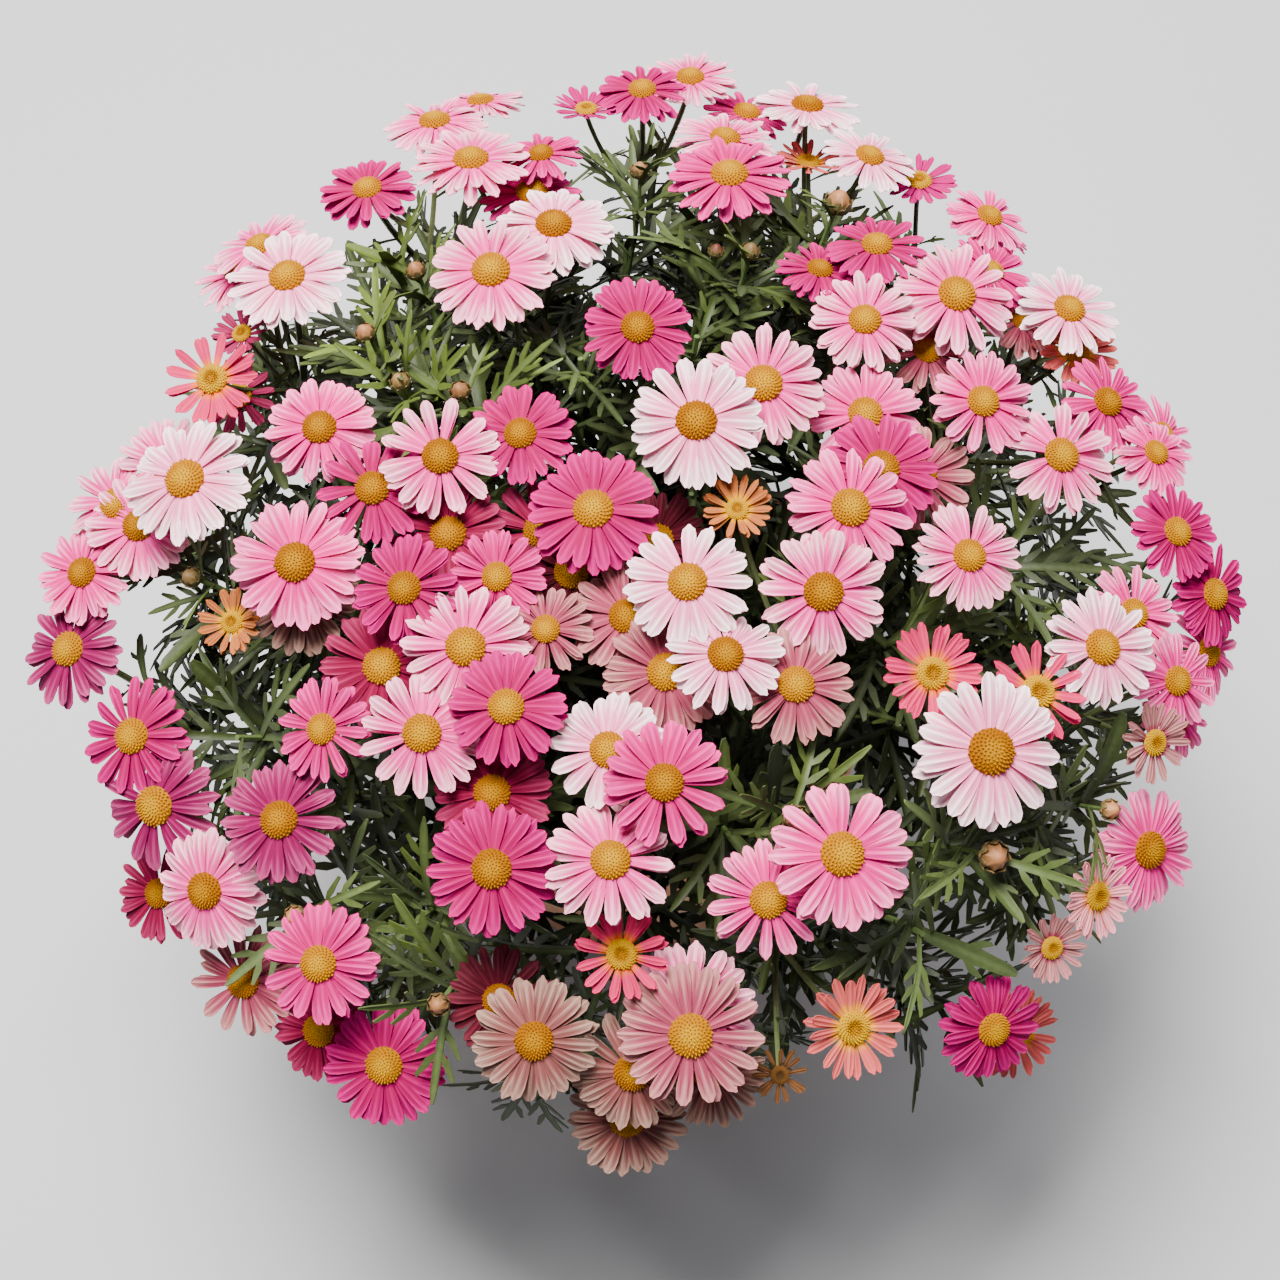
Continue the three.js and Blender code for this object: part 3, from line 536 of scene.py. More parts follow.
class Wire:
    """A number in a material. Arithmetic on it adds Math nodes."""

    def __init__(self, paint: Paint, socket: bpy.types.NodeSocket) -> None:
        """Wraps an output socket of a material's node."""
        self.paint = paint
        self.socket = socket

    def math(self, operation: str, *others: Wire | float) -> Wire:
        """Adds a Math node on this number and others."""
        return self.paint.math(operation, self, *others)

    def __add__(self, other: Wire | float) -> Wire:
        """Sum."""
        return self.math("ADD", other)

    __radd__ = __add__

    def __sub__(self, other: Wire | float) -> Wire:
        """Difference."""
        return self.math("SUBTRACT", other)

    def __rsub__(self, other: float) -> Wire:
        """Difference from a plain number."""
        return self.paint.math("SUBTRACT", other, self)

    def __mul__(self, other: Wire | float) -> Wire:
        """Product."""
        return self.math("MULTIPLY", other)

    __rmul__ = __mul__

    def ramp(self, low: float, high: float) -> Wire:
        """Smooth rise from 0 at one value to 1 at another."""
        node = self.paint.node(
            "ShaderNodeMapRange",
            {"interpolation_type": "SMOOTHSTEP"},
            {"Value": self, "From Min": low, "From Max": high},
        )
        return Wire(self.paint, node.outputs["Result"])


class Paint:
    """A material under construction, with one way to add any node."""

    def __init__(self, name: str) -> None:
        """Starts a material with an empty node tree, a shader and an output.

        Args:
            name: The material's name.
        """
        self.material = bpy.data.materials.new(name)
        self.material.use_nodes = True
        self.tree = self.material.node_tree
        self.tree.nodes.clear()
        self.shader = self.node("ShaderNodeBsdfPrincipled")
        out = self.node("ShaderNodeOutputMaterial")
        self.tree.links.new(self.shader.outputs[0], out.inputs["Surface"])

    def node(
        self,
        kind: str,
        settings: dict[str, object] | None = None,
        values: dict[str | int, object] | None = None,
    ) -> bpy.types.Node:
        """Adds a node.

        Args:
            kind: The node's type.
            settings: Its properties, which are set first. A list under "stops" fills a colour ramp.
            values: Numbers, colours, sockets or wires for its inputs, by name or number.

        Returns:
            The node.
        """
        node = self.tree.nodes.new(kind)
        for name, value in (settings or {}).items():
            if name == "stops":
                elements = node.color_ramp.elements
                while len(elements) < len(value):
                    elements.new(0.5)
                for element, (place, colour) in zip(elements, value):
                    element.position, element.color = place, (*colour, 1.0)
            else:
                setattr(node, name, value)
        for name, value in (values or {}).items():
            self.set(node.inputs[name], value)
        return node

    def set(self, socket: bpy.types.NodeSocket, value: object) -> None:
        """Gives an input a number, a colour, a socket or a wire.

        Args:
            socket: The input.
            value: What it gets.
        """
        if isinstance(value, Wire):
            value = value.socket
        if isinstance(value, bpy.types.NodeSocket):
            self.tree.links.new(value, socket)
        elif isinstance(value, tuple) and socket.type == "RGBA":
            socket.default_value = (*value[:3], 1.0)
        else:
            socket.default_value = value

    def math(self, operation: str, *values: Wire | float) -> Wire:
        """Adds a Math node on wires and plain numbers."""
        node = self.node("ShaderNodeMath", {"operation": operation}, dict(enumerate(values)))
        return Wire(self, node.outputs[0])

    def place(self) -> bpy.types.NodeSocket:
        """Object coordinates in metres."""
        return self.node("ShaderNodeTexCoord").outputs["Object"]

    def attribute(self, name: str, output: str = "Color") -> bpy.types.NodeSocket:
        """One output of an attribute of the mesh."""
        return self.node("ShaderNodeAttribute", {"attribute_name": name}).outputs[output]

    def grain(self) -> tuple[Wire, Wire, Wire]:
        """Place across and along a petal or leaf, and the number that tells one copy from another.

        Returns:
            The three numbers.
        """
        split = self.node("ShaderNodeSeparateXYZ", values={0: self.attribute("grain", "Vector")})
        across, along, kind = (Wire(self, socket) for socket in split.outputs)
        return across, along, kind

    def noise(self, scale: float, where: object = None, detail: float = 3, rough: float = 0.5) -> Wire:
        """Noise from about 0.2 to 0.8 at a number of waves per unit.

        Args:
            scale: Waves per unit.
            where: Coordinates, or nothing for the piece's own.
            detail: Octaves.
            rough: How strong the finer octaves are.

        Returns:
            The noise.
        """
        where = where or self.place()
        values = {"Vector": where, "Scale": scale, "Detail": detail, "Roughness": rough}
        return Wire(self, self.node("ShaderNodeTexNoise", values=values).outputs[0])

    def mix(
        self, share: Wire | float, first: object, second: object, blend: str = "MIX"
    ) -> bpy.types.NodeSocket:
        """Colour between two, or blended."""
        settings = {"data_type": "RGBA", "blend_type": blend}
        return self.node("ShaderNodeMix", settings, {0: share, 6: first, 7: second}).outputs[2]

    def shade(self, colour: object, light: Wire, blue: float = 1.0) -> bpy.types.NodeSocket:
        """The colour times a brightness, with its blue dimmed further."""
        grey = self.node("ShaderNodeCombineXYZ", values={0: light, 1: light, 2: light * blue})
        return self.mix(1.0, colour, grey.outputs[0], "MULTIPLY")

    def bump(self, height: Wire, distance: float, strength: float = 1.0) -> None:
        """Raises the surface by a height from 0 to 1."""
        values = {"Strength": strength, "Distance": distance, "Height": height}
        self.set(self.shader.inputs["Normal"], self.node("ShaderNodeBump", values=values).outputs[0])

    def finish(self, colour: object, rough: Wire | float, **constants: float) -> bpy.types.Material:
        """Links the colour and roughness, sets the shader's constants, and gives the material.

        Args:
            colour: Its colour.
            rough: Its roughness.
            **constants: Other inputs of the shader, with underscores for spaces.

        Returns:
            The material.
        """
        self.set(self.shader.inputs["Base Color"], colour)
        self.set(self.shader.inputs["Roughness"], rough)
        for name, value in constants.items():
            self.shader.inputs[name.replace("_", " ")].default_value = value
        return self.material


@dataclass(frozen=True)
class PetalFinish:
    """Satin petals: tip colour into disc colour, with fine lengthwise veins and painted shade in the grooves.
    """

    veins: float = 9.0
    rough: float = 0.52
    gloss: float = 0.02

    def make(self) -> bpy.types.Material:
        """Builds the material.

        Returns:
            The material.
        """
        paint = Paint("petal")
        across, along, kind = paint.grain()
        where = paint.node(
            "ShaderNodeCombineXYZ",
            values={0: across * self.veins + kind * 71.0, 1: along * 1.1, 2: kind * 13.0},
        )
        streak = paint.noise(1.0, where.outputs[0], detail=2)
        groove = 0.5 - (across * FULL_TURN).math("COSINE") * 0.5
        groove = groove * (1 - along.ramp(0.78, 1.0))
        reach = Wire(paint, paint.attribute("heart", "Alpha"))
        ragged = groove * 0.55 + (streak - 0.5) * 1.3 + (kind - 0.5) * 0.3
        heart = 0.9 - along.ramp(0.02, reach) + reach * ragged
        colour = paint.mix(heart.ramp(0.0, 1.0), paint.attribute("tint"), paint.attribute("heart"))
        # Darker in each petal's grooves: painted shade in the creases. The darker vein streaks and the random
        # share per petal are their own colour.
        light = 1.06 - groove * 0.26 - streak.ramp(0.5, 0.75) * 0.14 + (kind - 0.5) * 0.18
        colour = paint.shade(colour, light)
        paint.bump(streak * 0.7 - groove * 0.5, 0.0004, 0.8)
        return paint.finish(colour, self.rough, Specular_IOR_Level=self.gloss)


@dataclass(frozen=True)
class FloretFinish:
    """Golden disc: florets in one colour round a middle of another, with painted light on their tips and
    painted shade on the bed between them.
    """

    rough: float = 0.6
    gloss: float = 0.02

    def make(self) -> bpy.types.Material:
        """Builds the material.

        Returns:
            The material.
        """
        paint = Paint("disc_florets")
        out, high, kind = paint.grain()
        rim = (out + (paint.noise(900.0) - 0.5) * 0.3).ramp(0.25, 0.7)
        colour = paint.mix(rim, paint.attribute("heart"), paint.attribute("tint"))
        # Lighter on the upper halves of the florets, darker on the bed and low between them: painted light
        # and painted shade. The random share per floret is their own.
        colour = paint.shade(colour, 0.70 + high * 0.34 + (kind - 0.5) * 0.22, blue=0.9)
        paint.bump(paint.noise(2600.0), 0.0003, 0.6)
        return paint.finish(colour, self.rough, Specular_IOR_Level=self.gloss)


@dataclass(frozen=True)
class LeafFinish:
    """Grey-green leaves and stems, paler on the midrib and mottled."""

    rough: float = 0.5
    gloss: float = 0.25
    rib: Colour = (0.15, 0.21, 0.08)

    def make(self) -> bpy.types.Material:
        """Builds the material.

        Returns:
            The material.
        """
        paint = Paint("leaf_green")
        across, along, kind = paint.grain()
        colour = paint.mix(along.ramp(0.15, 1.0), paint.attribute("tint"), paint.attribute("heart"))
        rib = 1 - across.math("ABSOLUTE").ramp(0.02, 0.28)
        mottle = paint.noise(420.0, detail=4, rough=0.6)
        colour = paint.mix(rib * 0.22, colour, self.rib)
        colour = paint.shade(colour, 0.50 + mottle * 0.62 + (kind - 0.5) * 0.6)
        paint.bump(mottle * 0.6 - rib * 0.4, 0.0005, 0.6)
        return paint.finish(colour, self.rough + (mottle - 0.5) * 0.3, Specular_IOR_Level=self.gloss)


@dataclass(frozen=True)
class ClayFinish:
    """Fired clay: uneven orange-brown with lime bloom, turning rings and pits."""

    clay: Colour = (0.47, 0.19, 0.09)
    pale: Colour = (0.60, 0.33, 0.20)
    lime: Colour = (0.72, 0.66, 0.58)
    pit: Colour = (0.25, 0.10, 0.05)

    def make(self) -> bpy.types.Material:
        """Builds the material.

        Returns:
            The material.
        """
        paint = Paint("terracotta")
        split = paint.node("ShaderNodeSeparateXYZ", values={0: paint.place()})
        height = Wire(paint, split.outputs[2])
        cloud = paint.noise(14.0, detail=5, rough=0.6)
        fine = paint.noise(650.0, detail=4, rough=0.65)
        colour = paint.mix(cloud.ramp(0.35, 0.68), self.clay, self.pale)
        lime = paint.noise(38.0, detail=6, rough=0.7).ramp(0.52, 0.74) * (
            1 - height.ramp(0.02, 0.16) * 0.75 + height.ramp(0.15, 0.19) * 0.4
        )
        colour = paint.mix(lime * 0.55, colour, self.lime)
        speck = fine.ramp(0.58, 0.72)
        colour = paint.mix(speck * 0.35, colour, self.pit)
        rings = paint.math("SINE", height * 2300.0 + cloud * 9.0)
        paint.bump(rings * 0.12 + fine * 0.8 + cloud * 0.4, 0.0007, 0.8)
        return paint.finish(colour, 0.86 - lime * 0.1)


@dataclass(frozen=True)
class SoilFinish:
    """Damp potting mix. Copies take their own colour: bark chips, fibre and white perlite."""

    def make(self) -> bpy.types.Material:
        """Builds the material.

        Returns:
            The material.
        """
        paint = Paint("potting_mix")
        crumb = paint.noise(520.0, detail=6, rough=0.7)
        colour = paint.mix(crumb.ramp(0.3, 0.75), paint.attribute("heart"), paint.attribute("tint"))
        paint.bump(crumb, 0.0016, 0.9)
        return paint.finish(colour, 0.92 - crumb * 0.15)


@dataclass(frozen=True)
class BarkFinish:
    """Grey-brown bark of the woody base, cracked lengthwise."""

    crack: Colour = (0.06, 0.042, 0.028)
    ridge: Colour = (0.27, 0.21, 0.14)
    moss: Colour = (0.13, 0.16, 0.06)

    def make(self) -> bpy.types.Material:
        """Builds the material.

        Returns:
            The material.
        """
        paint = Paint("bark")
        mapped = paint.node("ShaderNodeMapping", values={"Vector": paint.place(), "Scale": (1.0, 1.0, 0.3)})
        crack = paint.noise(330.0, mapped.outputs[0], detail=6, rough=0.65)
        colour = paint.mix(crack.ramp(0.35, 0.7), self.crack, self.ridge)
        moss = paint.noise(45.0, detail=3).ramp(0.55, 0.75)
        colour = paint.mix(moss * 0.4, colour, self.moss)
        paint.bump(crack, 0.0014, 1.0)
        return paint.finish(colour, 0.88)


def sheet(cuts_along: int, cuts_across: int) -> Bench:
    """A level square of side one, from the origin out along X."""
    return Bench(
        bpy.ops.mesh.primitive_grid_add, x_subdivisions=cuts_along, y_subdivisions=cuts_across, size=1,
        location=(0.5, 0, 0),
    )


@dataclass
class Petals:
    """A petal of length one along X: narrow at the root, blunt and notched at the tip, creased lengthwise."""

    widths: tuple[float, ...] = (0.12, 0.195, 0.25, 0.225, 0.13)
    stations: tuple[float, ...] = (0.0, 0.3, 0.66, 0.87, 1.0)
    notch: float = 0.012
    corner: float = 0.045
    groove: float = 0.12
    sag: float = 0.05
    thickness: float = 0.02

    def pattern(self) -> Pattern:
        """Models the petal.

        Returns:
            The pattern.
        """
        rows = len(self.stations)
        bench = sheet(rows - 1, 4)
        step = 1 / (rows - 1)
        for row in reversed(range(rows)):
            here = row * step
            bench.pick(lambda p, here=here: abs(p.x - here) < 1e-4)
            bench.size(y=self.widths[row]).move(x=self.stations[row] - here)
        bench.pick(lambda p: p.x > 0.99 and abs(p.y) < 1e-3).move(x=-self.notch)
        bench.pick(lambda p: p.x > 0.99 and abs(p.y) > 0.4 * self.widths[-1]).move(x=-self.corner)
        for here, width in zip(self.stations, self.widths):
            bench.pick(lambda p, w=width, h=here: abs(p.x - h) < 0.03 and 0.15 * w < abs(p.y) < 0.35 * w)
            bench.move(z=-self.groove * width)
            bench.pick(lambda p, w=width, h=here: abs(p.x - h) < 0.03 and abs(p.y) > 0.4 * w)
            bench.move(z=-self.sag * width)
        widest = max(self.widths) / 2
        return Pattern.of(bench.thicken(self.thickness), lambda x, y, z: (y / widest, x, 0))


@dataclass
class Discs:
    """The domed disc of a bloom at radius one: a bed with florets in golden-angle rows."""

    florets: int = 128
    rise: float = 0.46
    floret_radius: float = 0.088
    floret_height: float = 0.13
    bed_reach: float = 0.985
    dimple_reach: float = 0.55
    upright: float = 0.9

    def pattern(self, dimple: float) -> Pattern:
        """Models the disc.

        Args:
            dimple: How far its middle is sunk, from 0 on an old bloom to about 0.25 on a young one.

        Returns:
            The pattern.
        """
        bench = Bench(bpy.ops.mesh.primitive_uv_sphere_add, segments=18, ring_count=10, radius=1)
        bench.pick(lambda p: p.z < -0.2)
        bpy.ops.mesh.delete(type="VERT")
        bench.pick(lambda p: p.z < 0.05)
        bpy.ops.mesh.edge_face_add()
        bench.all().size(z=self.rise)
        bench.pick(lambda p: math.hypot(p.x, p.y) < 0.45).move(z=-dimple * 0.8)
        disc = Pattern.of(bench.close(), lambda x, y, z: (np.hypot(x, y), 0, 0.5))
        bench = Bench(
            bpy.ops.mesh.primitive_cone_add, vertices=4, radius1=1, radius2=0, depth=1.3,
            end_fill_type="NGON", location=(0, 0, 0.35),
        )
        floret = Pattern.of(bench.close(), lambda x, y, z: (0, z > 0.5, 0))
        for i in range(self.florets):
            out = math.sqrt((i + 0.5) / self.florets) * self.bed_reach
            outward = around(i * GOLDEN_TURN) * out
            high = self.rise * math.sqrt(1 - out * out) - dimple * max(0.0, 1 - out / self.dimple_reach)
            up = unit(outward + self.upright * UP)
            side = unit(np.cross(up, spot(0, 1, 0.01)))
            radius = self.floret_radius * (0.72 + 0.38 * out)
            axes = (radius * side, radius * np.cross(up, side), self.floret_height * up)
            copy = floret.copy(outward + high * UP, axes)
            copy.grain[:, 0] = out
            copy.grain[:, 2] = draw(i, 31)
            disc = disc.joined(copy)
        return disc


@dataclass
class Cups:
    """The green cup under a bloom, rim radius one at height 0 down to the stalk at -1, with scales."""

    sides: int = 12
    foot: float = 0.2
    steps: tuple[tuple[float, float], ...] = ((0.42, -0.78), (0.78, -0.42), (0.99, -0.06), (1.0, 0.0))

    def pattern(self) -> Pattern:
        """Models the cup.

        Returns:
            The pattern.
        """
        radius, height = self.foot, -1.0
        bench = Bench(
            bpy.ops.mesh.primitive_circle_add, vertices=self.sides, radius=radius, fill_type="NGON",
            location=(0, 0, height),
        ).all()
        for new_radius, new_height in self.steps:
            bench.extrude(z=new_height - height)
            bench.size(new_radius / radius, new_radius / radius, 1)
            radius, height = new_radius, new_height
        bench.pick(lambda p: -0.5 < p.z < -0.04)
        bpy.ops.mesh.inset(thickness=0.05, depth=0.04, use_individual=True)
        return Pattern.of(bench.face_out().close(), lambda x, y, z: (1, 1 + z, 0))


@dataclass
class Tubes:
    """A closed tube of radius one and length one along X, to be laid along a curve."""

    sides: int = 6
    rings: int = 8

    def pattern(self) -> Pattern:
        """Models the tube.

        Returns:
            The pattern.
        """
        bench = Bench(
            bpy.ops.mesh.primitive_circle_add, vertices=self.sides, radius=1, fill_type="NGON",
            rotation=(0, FULL_TURN / 4, 0),
        ).all()
        for _ in range(self.rings):
            bench.extrude(x=1 / self.rings)
        return Pattern.of(bench.face_out().close(), lambda x, y, z: (1, x, 0))


@dataclass(frozen=True)
class Lobe:
    """A lobe of a leaf: the two stations that it stands between, and its steps out from the edge.

    Each step is how far forward and outward it goes, how many degrees its end turns, and its end's scale.
    """

    low: float
    high: float
    steps: tuple[tuple[float, float, float, float], ...]


@dataclass
class Leaves:
    """A cut leaf of length one along X: a narrow blade with lobes pulled out of its edges."""

    stations: tuple[tuple[float, float], ...]
    lobes: tuple[Lobe, ...]
    thickness: float = 0.012
    fold: float = 0.012

    def pattern(self) -> Pattern:
        """Models the leaf.

        Returns:
            The pattern.
        """
        (start, root_width), (first, first_width) = self.stations[:2]
        bench = sheet(1, 2)
        bench.pick(lambda p: p.x < 0.5).size(y=2 * root_width).move(x=start)
        bench.pick(lambda p: p.x > 0.5).size(y=2 * first_width).move(x=first - 1)
        for (here, width), (there, next_width) in zip(self.stations[1:], self.stations[2:]):
            bench.pick(lambda p, here=here: abs(p.x - here) < 1e-4)
            bench.extrude(x=there - here).size(y=next_width / width)
        for lobe in self.lobes:
            for side in (1, -1):
                self.pull(bench, lobe, side)
        bench.pick(lambda p: abs(p.y) < 1e-5 and 0.02 < p.x < 0.98).move(z=-self.fold)
        return Pattern.of(bench.thicken(self.thickness), lambda x, y, z: (y / 0.12, x, 0))

    def pull(self, bench: Bench, lobe: Lobe, side: int) -> None:
        """Pulls one lobe out of the blade's edge.

        Args:
            bench: The bench with the blade on it.
            lobe: The lobe.
            side: 1 on the left edge, -1 on the right.
        """
        bench.pick(lambda p: lobe.low - 1e-3 < p.x < lobe.high + 1e-3 and 1e-4 < p.y * side < 0.09)
        for forward, outward, turn, scale in lobe.steps:
            bench.extrude(x=forward, y=outward * side).turn(-turn * side)
            bench.size(scale, scale, 1, about=bench.middle())


NARROW = Leaves(
    stations=((0.0, 0.020), (0.37, 0.029), (0.435, 0.031), (0.58, 0.031), (0.645, 0.033), (0.90, 0.027),
              (1.0, 0.009)),
    lobes=(
        Lobe(0.37, 0.435, ((0.06, 0.045, 30, 1.05), (0.15, 0.095, 10, 0.42))),
        Lobe(0.58, 0.645, ((0.06, 0.045, 30, 1.05), (0.13, 0.07, 10, 0.42))),
    ),
)
BROAD = Leaves(
    stations=((0.0, 0.020), (0.26, 0.028), (0.32, 0.030), (0.44, 0.032), (0.505, 0.034), (0.64, 0.034),
              (0.70, 0.036), (0.91, 0.028), (1.0, 0.009)),
    lobes=(
        Lobe(0.26, 0.32, ((0.05, 0.04, 30, 1.0), (0.095, 0.06, 10, 0.42))),
        Lobe(0.44, 0.505, ((0.06, 0.045, 30, 1.05), (0.15, 0.095, 10, 0.42))),
        Lobe(0.64, 0.70, ((0.05, 0.04, 30, 1.05), (0.10, 0.05, 10, 0.42))),
    ),
)
SLENDER = Leaves(
    stations=((0.0, 0.030), (0.3, 0.044), (0.56, 0.058), (0.65, 0.060), (0.92, 0.046), (1.0, 0.018)),
    lobes=(Lobe(0.56, 0.65, ((0.07, 0.045, 20, 0.8), (0.06, 0.018, 8, 0.42))),),
)


@dataclass
class Curve:
    """A curve with one bend, from a start to an end."""

    start: Spot
    bend: Spot
    end: Spot

    def point(self, share: float) -> Spot:
        """The point at a share of the way."""
        rest = 1 - share
        return rest * rest * self.start + 2 * rest * share * self.bend + share * share * self.end

    def along(self, share: float) -> Spot:
        """The direction at a share of the way."""
        return unit(2 * (1 - share) * (self.bend - self.start) + 2 * share * (self.end - self.bend))

    def length(self) -> float:
        """Length of the curve."""
        spots = np.array([self.point(i / 40) for i in range(41)])
        return float(np.linalg.norm(np.diff(spots, axis=0), axis=1).sum())

    def sections(self, stations: Iterable[float]) -> list[tuple[Spot, Spot, Spot, Spot]]:
        """Centre, direction and two cross directions at stations, each turned little from the last.

        Args:
            stations: Shares of the way, in order.

        Returns:
            A row for each station.
        """
        made = []
        across = None
        for share in stations:
            along = self.along(share)
            if across is None:
                across = spot(1, 0, 0) if abs(along[2]) >= 0.9 else spot(0, 0, 1)
            across = unit(across - along * float(across @ along))
            made.append((self.point(share), along, across, np.cross(along, across)))
        return made


def lay_tube(
    sheaf: Sheaf,
    tube: Pattern,
    curve: Curve,
    radii: tuple[float, float],
    colours: tuple[Colour, Colour],
    finish: int,
    kind: float,
    wobble: float = 0.0,
) -> None:
    """Lays a copy of the tube along a curve.

    Args:
        sheaf: The piece that it goes into.
        tube: The tube's pattern.
        curve: The curve.
        radii: Its radius at the start and the end.
        colours: Its colours at the start and the end.
        finish: Number of its finish.
        kind: Number from 0 to 1 that tells it from others.
        wobble: How uneven its radius is.
    """
    shares = np.unique(np.round(tube.spots[:, 0], 4))
    spots = np.empty_like(tube.spots)
    for share, (centre, _, across, over) in zip(shares, curve.sections(shares)):
        rows = np.abs(tube.spots[:, 0] - share) < 1e-3
        radius = radii[0] + (radii[1] - radii[0]) * share
        radius *= 1 + wobble * sway(kind * 977 + share * 31, 41)
        spots[rows] = centre + radius * (
            np.outer(tube.spots[rows, 1], across) + np.outer(tube.spots[rows, 2], over)
        )
    sheaf.add(tube, spots, finish, colours[0], colours[1], kind)


@dataclass(frozen=True)
class Facing:
    """How blooms face: out from the dome, more so in the east, partly at random, and to the south's light."""

    outward: float = 0.37
    eastward: float = 0.2
    east_end: float = 200
    scatter: float = 0.24
    lean: float = 0.23
    back_lean: float = 0.14
    north_end: float = 95
    north_fade: float = 50
    south_end: float = -235
    south_fade: float = 90

    def of(self, number: int, east: float, north: float) -> Spot:
        """The direction that a bloom faces, from its number and its place on the plan.

        Args:
            number: The bloom's number.
            east: Its place on the plan.
            north: The same, to the north.

        Returns:
            The direction, at length one.
        """
        lean = self.lean * clamp01((self.north_end - north) / self.north_fade)
        lean *= clamp01((north - self.south_end) / self.south_fade)
        lean -= self.back_lean * clamp01((north - self.north_end) / self.north_fade)
        radius = max(1.0, math.hypot(east, north))
        spread = (self.outward + self.eastward * clamp01(east / self.east_end)) * DOME.slope(radius) / radius
        more_east, more_north = TILTS.get(number, (0, 0))
        return unit(spot(
            east * spread + more_east + self.scatter * sway(number, 1),
            north * spread + more_north - lean + self.scatter * sway(number, 2),
            1,
        ))


@dataclass(frozen=True)
class SolidHead:
    """The solid flower head, which the blooms follow: shares of its width, and how its petals stand."""

    disc: float = 0.155
    cup: float = 0.1
    petal_half: float = 0.095
    petals: int = 8
    big: float = 41
    deep: float = -9
    slope: float = 0.1
    ruffle: float = 0.16
    root_height: float = 0.4
    lengths: tuple[float, ...] = (1, 0.72)
    bends: tuple[float, ...] = (0, -0.22, 0.22, -0.44, 0.44, -0.7)
    near: float = 0.2 * MM


@dataclass(frozen=True)
class Crown:
    """How a bloom's petals stand, by its age. A pair is the smallest value and what a draw adds to it."""

    disc: float
    petals: tuple[int, int]
    droop: tuple[float, float]
    narrow: tuple[float, float]
    blunt: tuple[float, float]
    cupped: float
    heart: float


@dataclass(frozen=True)
class Whorl:
    """A layer of petals: its share of their length, its extra pitch, and its height over the petals' foot."""

    length: float
    pitch: float
    height: float


FACING = Facing()
SOLID_HEAD = SolidHead()
OPEN = Crown(1.0, (25, 5), (-0.20, -0.30), (0.92, 0.16), (0.45, 0.5), 0.0, 1.0)
YOUNG = Crown(1.08, (22, 4), (0.0, 0.0), (0.92, 0.0), (0.35, 0.0), 0.10, 0.42)
OPENING = replace(YOUNG, cupped=0.30)
WITHERED = replace(OPENING, petals=(13, 0))
WHORLS = (Whorl(1.0, -0.03, 0.15), Whorl(0.965, 0.09, 0.8))

# Blooms narrower than these are still opening or young, and wider than the last have two petals more
OPENING_WIDTH, YOUNG_WIDTH, FULL_WIDTH = 33, 35, 47


@dataclass
class Bloom:
    """A flower head: its place, the way it faces, and the petals that stand round it."""

    number: int
    east: float
    north: float
    lift: float
    width: float
    tint: Tint
    centre: Spot = field(init=False)
    facing: Spot = field(init=False)
    right: Spot = field(init=False)
    left: Spot = field(init=False)
    excess: list[tuple[float, float, float]] = field(default_factory=list)

    def __post_init__(self) -> None:
        """Works out the head's frame from its place on the dome."""
        self.centre = DOME.point(self.east, self.north, self.lift)
        self.facing = FACING.of(self.number, self.east, self.north)
        self.right = unit(spot(1, 0, 0) - self.facing * self.facing[0])
        self.left = np.cross(self.facing, self.right)

    def draw(self, purpose: float) -> float:
        """The bloom's seeded draw for a purpose."""
        return draw(self.number, purpose)

    @property
    def spin(self) -> float:
        """Turn of the first petal."""
        return FULL_TURN * self.draw(3)

    @property
    def disc(self) -> float:
        """Radius of the solid's disc."""
        return SOLID_HEAD.disc * self.width

    @property
    def neck(self) -> Spot:
        """Where the stalk meets the cup."""
        return self.centre - SOLID_HEAD.cup * self.width * self.facing

    @property
    def crown(self) -> Crown:
        """How its petals stand.

        Returns:
            One of the four crowns.
        """
        if self.tint is DRIED:
            return WITHERED
        if self.tint in YOUNG_TINTS or self.width < YOUNG_WIDTH:
            return OPENING if self.width < OPENING_WIDTH else YOUNG
        return OPEN

    def axes(self, turn: float) -> np.ndarray:
        """Axes of a petal at a turn: out along it, across it, and the way that the bloom faces."""
        out = math.cos(turn + self.spin) * self.right + math.sin(turn + self.spin) * self.left
        return np.array([out, np.cross(self.facing, out), self.facing])

    def read(self, tree: KDTree) -> int:
        """Finds how far the solid's petals bend from rest, so that these bend with them.

        Args:
            tree: The points of the solid bunch.

        Returns:
            How many of its petals were found.
        """
        solid = SOLID_HEAD
        count = solid.petals - (self.width < solid.big) - 2 * (self.lift < solid.deep)
        for petal in range(count):
            middle = FULL_TURN * (petal + 0.5) / count
            rest = (solid.slope if petal % 2 == 0 else -solid.slope)
            rest += solid.ruffle * sway(self.number, 10 + petal)
            for length, bend in product(solid.lengths, solid.bends):
                reach = (self.width / 2 - self.disc) * length
                radius = self.disc + reach * math.cos(rest + bend)
                turn = middle - math.atan2(solid.petal_half * self.width, radius)
                high = solid.root_height + reach * math.sin(rest + bend)
                tip = self.centre + spot(radius, 0, high) @ self.axes(turn)
                if tree.find(tip * MM)[2] < solid.near:
                    self.excess.append((middle, bend, length))
        return len(self.excess)

    def bend_at(self, turn: float) -> tuple[float, float]:
        """Extra pitch and share of the length for a petal at a turn.

        Args:
            turn: The petal's turn, in radians.

        Returns:
            The pitch and the share.
        """
        if not self.excess:
            return 0.0, 1.0
        turns, *measures = zip(*self.excess)
        return tuple(float(np.interp(turn % FULL_TURN, turns, row, period=FULL_TURN)) for row in measures)


@dataclass
class FlowerPatterns:
    """Everything that a bloom is made of, modelled once."""

    petals: tuple[Pattern, Pattern]
    old_disc: Pattern
    young_disc: Pattern
    cup: Pattern
    stalk: Pattern
    leaves: tuple[Pattern, Pattern, Pattern]


PETAL_SLOT, DISC_SLOT, LEAF_SLOT = range(3)
STALK_GREENS = ((0.09, 0.105, 0.04), (0.10, 0.135, 0.045))
CUP_GREENS = ((0.10, 0.12, 0.045), (0.13, 0.19, 0.06))


